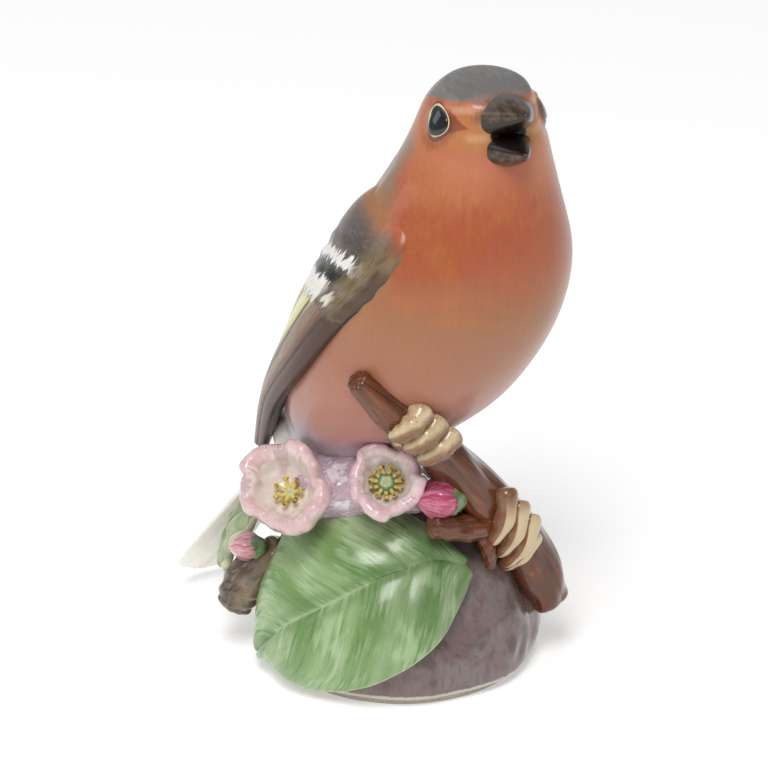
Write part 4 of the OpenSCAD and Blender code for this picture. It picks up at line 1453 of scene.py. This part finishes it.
@dataclass
class Blossom:
    """One cupped blossom of five lapping petals with a thick folded rim, stamens and a domed middle."""

    side: Side
    tint: Tint
    place: Vector
    axis: Vector
    spin: float
    radius: float
    cup: float
    reach: float
    rise: float
    dome: float
    pistil_slot: str
    middle: str
    squeeze: float
    stamens: int
    steps: int = 53
    sides: int = 110
    profile: tuple = ((0.20, -0.80), (0.60, -0.74), (0.88, -0.42), (1.00, 0.10), (1.05, 0.48), (0.99, 0.78),
                      (0.84, 0.84), (0.70, 0.62), (0.60, 0.20), (0.44, -0.06), (0.22, -0.14), (0.04, -0.15))

    def __post_init__(self) -> None:
        """Bring the axis to unit length."""
        self.axis = self.axis.normalized()

    def cup_rings(self) -> list[list[Vector]]:
        """Rings up the outside of the cup, over its folded rim and down inside."""
        rings = []
        for k in range(self.steps + 1):
            out, lift = along(self.profile, k / self.steps)
            high = ease((lift + 0.45) / 1.0)
            ring = []
            for i in range(self.sides):
                turn = math.tau * i / self.sides
                lap = (turn * 5 / math.tau + 0.12 * math.sin(2 * turn + self.place.y)) % 1.0
                fold = ease(lap / 0.85) * ease((1 - lap) / 0.16)
                bulge = 0.10 * (fold - 0.6) + 0.06 * math.sin(math.pi * lap) ** 0.6
                lean = self.squeeze * math.cos(2 * turn) + 0.05 * math.sin(3 * turn + self.place.z)
                sway = 0.14 * math.sin(2 * turn + self.place.x) + 0.07 * math.sin(7 * turn) * high
                r = self.radius * out * (1 + high * (bulge + lean))
                z = self.cup * (lift + high * (0.16 * fold + sway))
                ring.append(Vector((r * math.cos(turn), r * math.sin(turn), z)))
            rings.append(ring)
        return rings

    def build(self) -> None:
        """Model and paint the blossom's petals, middle and stamens."""
        word = self.side.word
        flower = loft(f"{word}_petals", self.cup_rings(), 1)
        carve(flower, lambda at: 0.11 * roughen(at, 0.8, 3.0) + 0.16 * roughen(at, 1.9, 7.0))
        stand_at(flower, self.place, self.axis, self.spin)
        settle(flower, self.paint_petals(), "petal_glaze", f"{word}_blossom")
        self.build_middle(word)
        self.build_stamens(word)

    def build_middle(self, word: str) -> None:
        """Model the domed middle with its lobes."""
        rings = []
        for k in range(14):
            t = k / 13
            r = self.dome * math.cos(math.pi / 2 * t * 0.94)
            z = -0.5 + 1.15 * self.dome * math.sin(math.pi / 2 * t) - 0.22 * ease((t - 0.72) / 0.28)
            rings.append([Vector((r * math.cos(a), r * math.sin(a), z))
                          for a in (math.tau * i / 30 for i in range(30))])
        dome = loft(f"{word}_flower_middle", rings, 1)
        carve_along(dome, lambda at: 0.07 * math.cos(5 * math.atan2(at.y, at.x)) * ease(at.z / 0.3))
        stand_at(dome, self.place, self.axis)
        settle(dome, self.paint_middle(), self.pistil_slot, f"{word}_pistil")

    def build_stamens(self, word: str) -> None:
        """Model one stamen and copy it round the middle."""
        reach = Vector((self.reach - 0.4, 0, self.rise))
        path = [(0.4 + reach.x * t, 0.0, reach.z * t ** 0.8, mix(0.26, 0.17, t))
                for t in (0, 0.33, 0.67, 1.0)]
        thread = loft("thread", tube_rings(path, 6, 10), 0)
        clear_selection()
        bpy.ops.mesh.primitive_ico_sphere_add(subdivisions=2, radius=0.28)
        anther = bpy.context.object
        at_tip, flatter = Matrix.Translation((self.reach, 0, self.rise)), Matrix.Diagonal((1, 1.25, 0.8, 1))
        anther.data.transform(at_tip @ flatter)
        to_size(anther)
        smooth(anther, 180)
        first = join(f"{word}_stamen", [anther, thread])
        crown = [first]
        for k in range(1, self.stamens):
            copy = first.copy()
            copy.data = first.data.copy()
            bpy.context.collection.objects.link(copy)
            copy.data.transform(Matrix.Rotation(math.tau * k / self.stamens, 4, "Z"))
            crown.append(copy)
        ring = join(f"{word}_stamen_ring", crown)
        stand_at(ring, self.place, self.axis)
        settle(ring, self.paint_stamens(), "stamen_glaze", f"{word}_stamens")

    def from_axis(self, p: Palette) -> Tone:
        """Distance from the blossom's axis, in millimetres."""
        x, y, z = p.axes(p.spot)
        dx, dy, dz = x - self.place.x, y - self.place.y, z - self.place.z
        up = dx * self.axis.x + dy * self.axis.y + dz * self.axis.z
        return (dx * dx + dy * dy + dz * dz - up * up).most(0.0).root()

    def paint_petals(self) -> bpy.types.Material:
        """Pale petals with a rose flush, mauve shadows and a yellow heart."""
        petal, blush, shade, heart = self.tint.value
        p = Palette(f"{self.side.word}_petal_glaze", Glaze(0.28, 0.6, 0.10, 0.08, 0.5))
        c, q, u = p.lie()
        strokes = p.strokes(p.vector(c * 6.0, q * 6.0, u * 5.0), (1.0, 1.0, 0.3), 1.3, 4.0, 0.6)
        cloud = p.cloud(0.42, 3.0)
        p.colour = petal
        p.lay("f3ebe4", (u + cloud * 0.3 + strokes * 0.16).over(0.60, 0.08) * 0.7)
        p.lay(blush, (u + cloud * 0.8 + strokes * 0.3).band(0.38, 0.56, 0.10) * 0.6)
        p.lay(shade, (u + cloud * 0.4 + strokes * 0.3).under(0.33, 0.12) * 0.45)
        p.lay(shade, (cloud * 1.2 + strokes * 0.8).over(0.14, 0.06) * u.under(0.66, 0.05) * 0.5)
        p.lay(blush, (cloud * 1.2 + strokes * 0.8).over(0.12, 0.08) * u.over(0.64, 0.05) * 0.35)
        p.lay(heart, (u + cloud * 0.16).over(0.86, 0.03) * 0.85)
        return p.fire(strokes + cloud)

    def paint_middle(self) -> bpy.types.Material:
        """Coloured dome, pale at its top and darker green in a band below that."""
        p = Palette(self.pistil_slot, Glaze(0.22, 0.7, 0.05, 0.05, 0.5))
        u, cloud = p.lie()[2], p.cloud(1.1, 3.0)
        p.colour = self.middle
        p.lay("d5dcb4", (u + cloud * 0.6).over(0.74, 0.1) * 0.8)
        p.lay("4a7a40", (u + cloud * 0.4).band(0.30, 0.62, 0.10) * 0.6)
        return p.fire(cloud)

    def paint_stamens(self) -> bpy.types.Material:
        """Ochre-yellow, with dark brown dots on the anthers."""
        p = Palette(f"{self.side.word}_stamen_glaze", Glaze(0.25, 0.6, 0.06, 0.04, 0.4))
        out, grit = self.from_axis(p), p.cloud(2.4, 3.0)
        p.colour = "d9bf5e"
        p.lay("e9dd9a", (out + grit * 0.4).under(self.reach - 0.5, 0.2) * 0.6)
        tips = (out + grit * 0.2).over(self.reach - 0.25, 0.15)
        p.lay("5a3a1e", (grit + 0.5).under(0.47, 0.05) * tips * 0.9)
        return p.fire(grit)


@dataclass
class Bud:
    """Closed bud in its green cup."""

    side: Side
    place: Vector
    axis: Vector
    length: float
    radius: float
    cup_length: float
    cup_radius: float
    deep: str
    pale: str

    def __post_init__(self) -> None:
        """Bring the axis to unit length."""
        self.axis = self.axis.normalized()

    def build(self) -> None:
        """Model and paint the bud and its cup."""
        word = self.side.word
        rings = []
        for k in range(25):
            t = k / 24
            r = self.radius * sin_deg(180 * (0.04 + 0.93 * t ** 0.85)) ** 0.7
            centre = Vector((0, 0, self.length * t))
            rings.append([Vector((math.cos(a), math.sin(a), 0)) * r * (1 + 0.10 * self.fold(a, t)) + centre
                          for a in (math.tau * i / 42 for i in range(42))])
        bud = loft(f"{word}_closed_bud", rings, 1)
        stand_at(bud, self.place, self.axis)
        settle(bud, self.paint_bud(), "bud_glaze", f"{word}_bud")
        rings = []
        for k in range(11):
            t = k / 10
            ring = []
            for i in range(50):
                a = math.tau * i / 50
                reach = 1 + 0.35 * math.cos(5 * a) * t
                r = self.cup_radius * (0.35 + 0.65 * t ** 0.6)
                ring.append(Vector((r * math.cos(a), r * math.sin(a), self.cup_length * (t * reach - 0.35))))
            rings.append(ring)
        cup = loft(f"{word}_bud_cup", rings, 1)
        stand_at(cup, self.place, self.axis)
        settle(cup, self.paint_cup(), "calyx_glaze", f"{word}_bud_calyx")

    @staticmethod
    def fold(turn: float, t: float) -> float:
        """Spiral laps of the three wrapped petals, from -1 to 1."""
        share = ((3 * turn - 2.6 * t) / math.tau) % 1.0
        return 2 * ease(share / 0.85) * ease((1 - share) / 0.15) - 1

    def paint_bud(self) -> bpy.types.Material:
        """Magenta-rose with paler strokes, more of them towards the tip, and darker strokes."""
        p = Palette(f"{self.side.word}_bud_glaze", Glaze(0.2, 0.8, 0.04, 0.05, 0.4))
        c, s, u = p.lie()
        strokes = p.strokes(p.vector(c * 2.0, s * 2.0, u * 4.0), (1.6, 1.6, 0.5), 1.6, 4.0)
        p.colour = self.deep
        p.lay(self.pale, (strokes + u * 0.15).over(0.10, 0.10) * 0.75)
        p.lay("8c2f4e", strokes.under(-0.10, 0.08) * 0.5)
        return p.fire(strokes)

    def paint_cup(self) -> bpy.types.Material:
        """Grey-green with olive strokes."""
        p = Palette(f"{self.side.word}_calyx_glaze", Glaze(0.24, 0.6, 0.06, 0.05, 0.5))
        cloud = p.cloud(1.2, 4.0)
        p.colour = "6f8d5f"
        p.lay("4c6240", cloud.over(0.04, 0.08) * 0.7)
        p.lay("a3b58e", cloud.under(-0.10, 0.08) * 0.6)
        return p.fire(cloud)


@dataclass
class Bed:
    """Lumpy cushion of small petals that the blossoms sit on."""

    path: tuple = ((-3.4, -5.0, 20.0, 2.0), (-5.2, -1.5, 20.6, 3.0), (-6.8, 2.8, 19.8, 3.5),
                   (-8.0, 7.0, 17.8, 3.2), (-7.6, 10.4, 15.6, 2.0))

    def build(self) -> None:
        """Model and paint the bed."""
        bed = loft("petal_bed", tube_rings(self.path, 44, 48), 1)
        carve(bed, lambda at: 0.42 * roughen(at, 1.9, 4.0) + 0.18 * roughen(at, 0.8, 9.0))
        p = Palette("bed_glaze", Glaze(0.22, 0.75, 0.05, 0.06, 0.6))
        cloud = p.cloud(0.5, 4.0, 0.65, 0.6)
        fine = p.cloud(2.2, 3.0, 0.6)
        p.colour = "d5c6ce"
        p.lay("c39aa8", (cloud + fine * 0.2).over(0.03, 0.08) * 0.75)
        p.lay("e9e4e4", (cloud + fine * 0.3).under(-0.07, 0.08) * 0.8)
        p.lay("8f6f8e", (abs(cloud) + fine * 0.03).under(0.018, 0.012) * 0.6)
        settle(bed, p.fire(cloud + fine), "bed_glaze", "blossom_bed")


# ---------- studio ----------

@dataclass(frozen=True)
class Studio:
    """Pale floor, soft light and the camera."""

    azimuth: float = -50.0
    elevation: float = 25.0
    target: tuple = (-0.8, 1.6, 29.3)
    distance: float = 420.0
    lens: float = 195.9

    def build(self) -> None:
        """Set the studio up."""
        self.floor()
        self.light()
        self.camera()

    def floor(self) -> None:
        """Wide pale floor."""
        clear_selection()
        bpy.ops.mesh.primitive_plane_add(size=6)
        floor = bpy.context.object
        floor.name = "floor"
        p = Palette("floor_paper", Glaze(0.9, 0.0, 0.3, 0.0, 0.0))
        dress(floor, p.material)
        p.shader.inputs["Base Color"].default_value = (0.97, 0.97, 0.97, 1)
        p.shader.inputs["Emission Color"].default_value = (1, 1, 1, 1)
        p.shader.inputs["Emission Strength"].default_value = 0.34

    def lamp(self, name: str, azimuth: float, elevation: float, reach: float, size: tuple[float, float],
             power: float) -> None:
        """Add one soft rectangular lamp that faces the figure.

        Args:
            name: Name of the lamp.
            azimuth: Degrees from the breast's direction, to the bird's left.
            elevation: Degrees above level.
            reach: Distance in metres.
            size: Width and height in metres.
            power: Watts.
        """
        away = bearing(azimuth, elevation)
        lamp = bpy.data.lights.new(name, "AREA")
        lamp.shape, lamp.size, lamp.size_y, lamp.energy = "RECTANGLE", size[0], size[1], power
        stand = bpy.data.objects.new(name, lamp)
        bpy.context.collection.objects.link(stand)
        target = Vector(self.target) * MM
        stand.location = target + away * reach
        stand.rotation_euler = away.to_track_quat("Z", "Y").to_euler()

    def light(self) -> None:
        """White surroundings and two large soft lamps."""
        world = bpy.data.worlds.new("white_room")
        bpy.context.scene.world = world
        world.use_nodes = True
        world.node_tree.nodes["Background"].inputs["Color"].default_value = (1, 1, 1, 1)
        world.node_tree.nodes["Background"].inputs["Strength"].default_value = 0.38
        self.lamp("window", -60.0, 56.0, 0.60, (0.20, 0.28), 1.9)
        self.lamp("side_fill", -140.0, 30.0, 0.80, (0.30, 0.40), 0.5)

    def camera(self) -> None:
        """Long lens from the bird's front right, a little above."""
        lens = bpy.data.cameras.new("camera")
        camera = bpy.data.objects.new("camera", lens)
        bpy.context.collection.objects.link(camera)
        back = bearing(self.azimuth, self.elevation)
        camera.location = (Vector(self.target) + back * self.distance) * MM
        camera.rotation_euler = back.to_track_quat("Z", "Y").to_euler()
        lens.lens, lens.sensor_width = self.lens, 36.0
        lens.clip_start, lens.clip_end = 0.01, 20.0
        bpy.context.scene.camera = camera
        bpy.context.scene.view_settings.view_transform = "Standard"


def main() -> None:
    """Build the figure piece by piece, and the studio round it."""
    logging.basicConfig(level=logging.INFO, format="%(name)s: %(message)s")
    body = Body().build()
    Eyes().build(body)
    Beak().build()
    Wings().build()
    Tail().build()
    Feet().build()
    Mound().build()
    Branch().build()
    Leaves().build()
    Bed().build()
    Blossom(Side.RIGHT, Tint.RIGHT, place=Vector((-7.5, -4.3, 22.6)), axis=Vector((-0.60, -0.50, 0.62)),
            spin=20, radius=3.5, cup=2.1, reach=1.55, rise=0.55, dome=1.2, pistil_slot="pistil_glaze",
            middle="7f9b62", squeeze=0.02, stamens=11).build()
    Blossom(Side.LEFT, Tint.LEFT, place=Vector((-11.5, 4.9, 20.1)), axis=Vector((-0.70, -0.22, 0.68)),
            spin=50, radius=4.35, cup=3.0, reach=1.35, rise=0.75, dome=0.8, pistil_slot="pale_pistil_glaze",
            middle="d8d79a", squeeze=0.10, stamens=7).build()
    Bud(Side.RIGHT, place=Vector((-3.2, -10.2, 21.3)), axis=Vector((-0.70, 0.55, 0.05)), length=4.4,
        radius=2.2, cup_length=2.0, cup_radius=1.9, deep="b8476a", pale="d98aa0").build()
    Bud(Side.LEFT, place=Vector((-10.6, 9.6, 12.2)), axis=Vector((-0.45, 0.80, -0.10)), length=3.4,
        radius=1.5, cup_length=1.5, cup_radius=1.35, deep="cf8f9b", pale="e6c3c4").build()
    Studio().build()


if __name__ == "__main__":
    main()
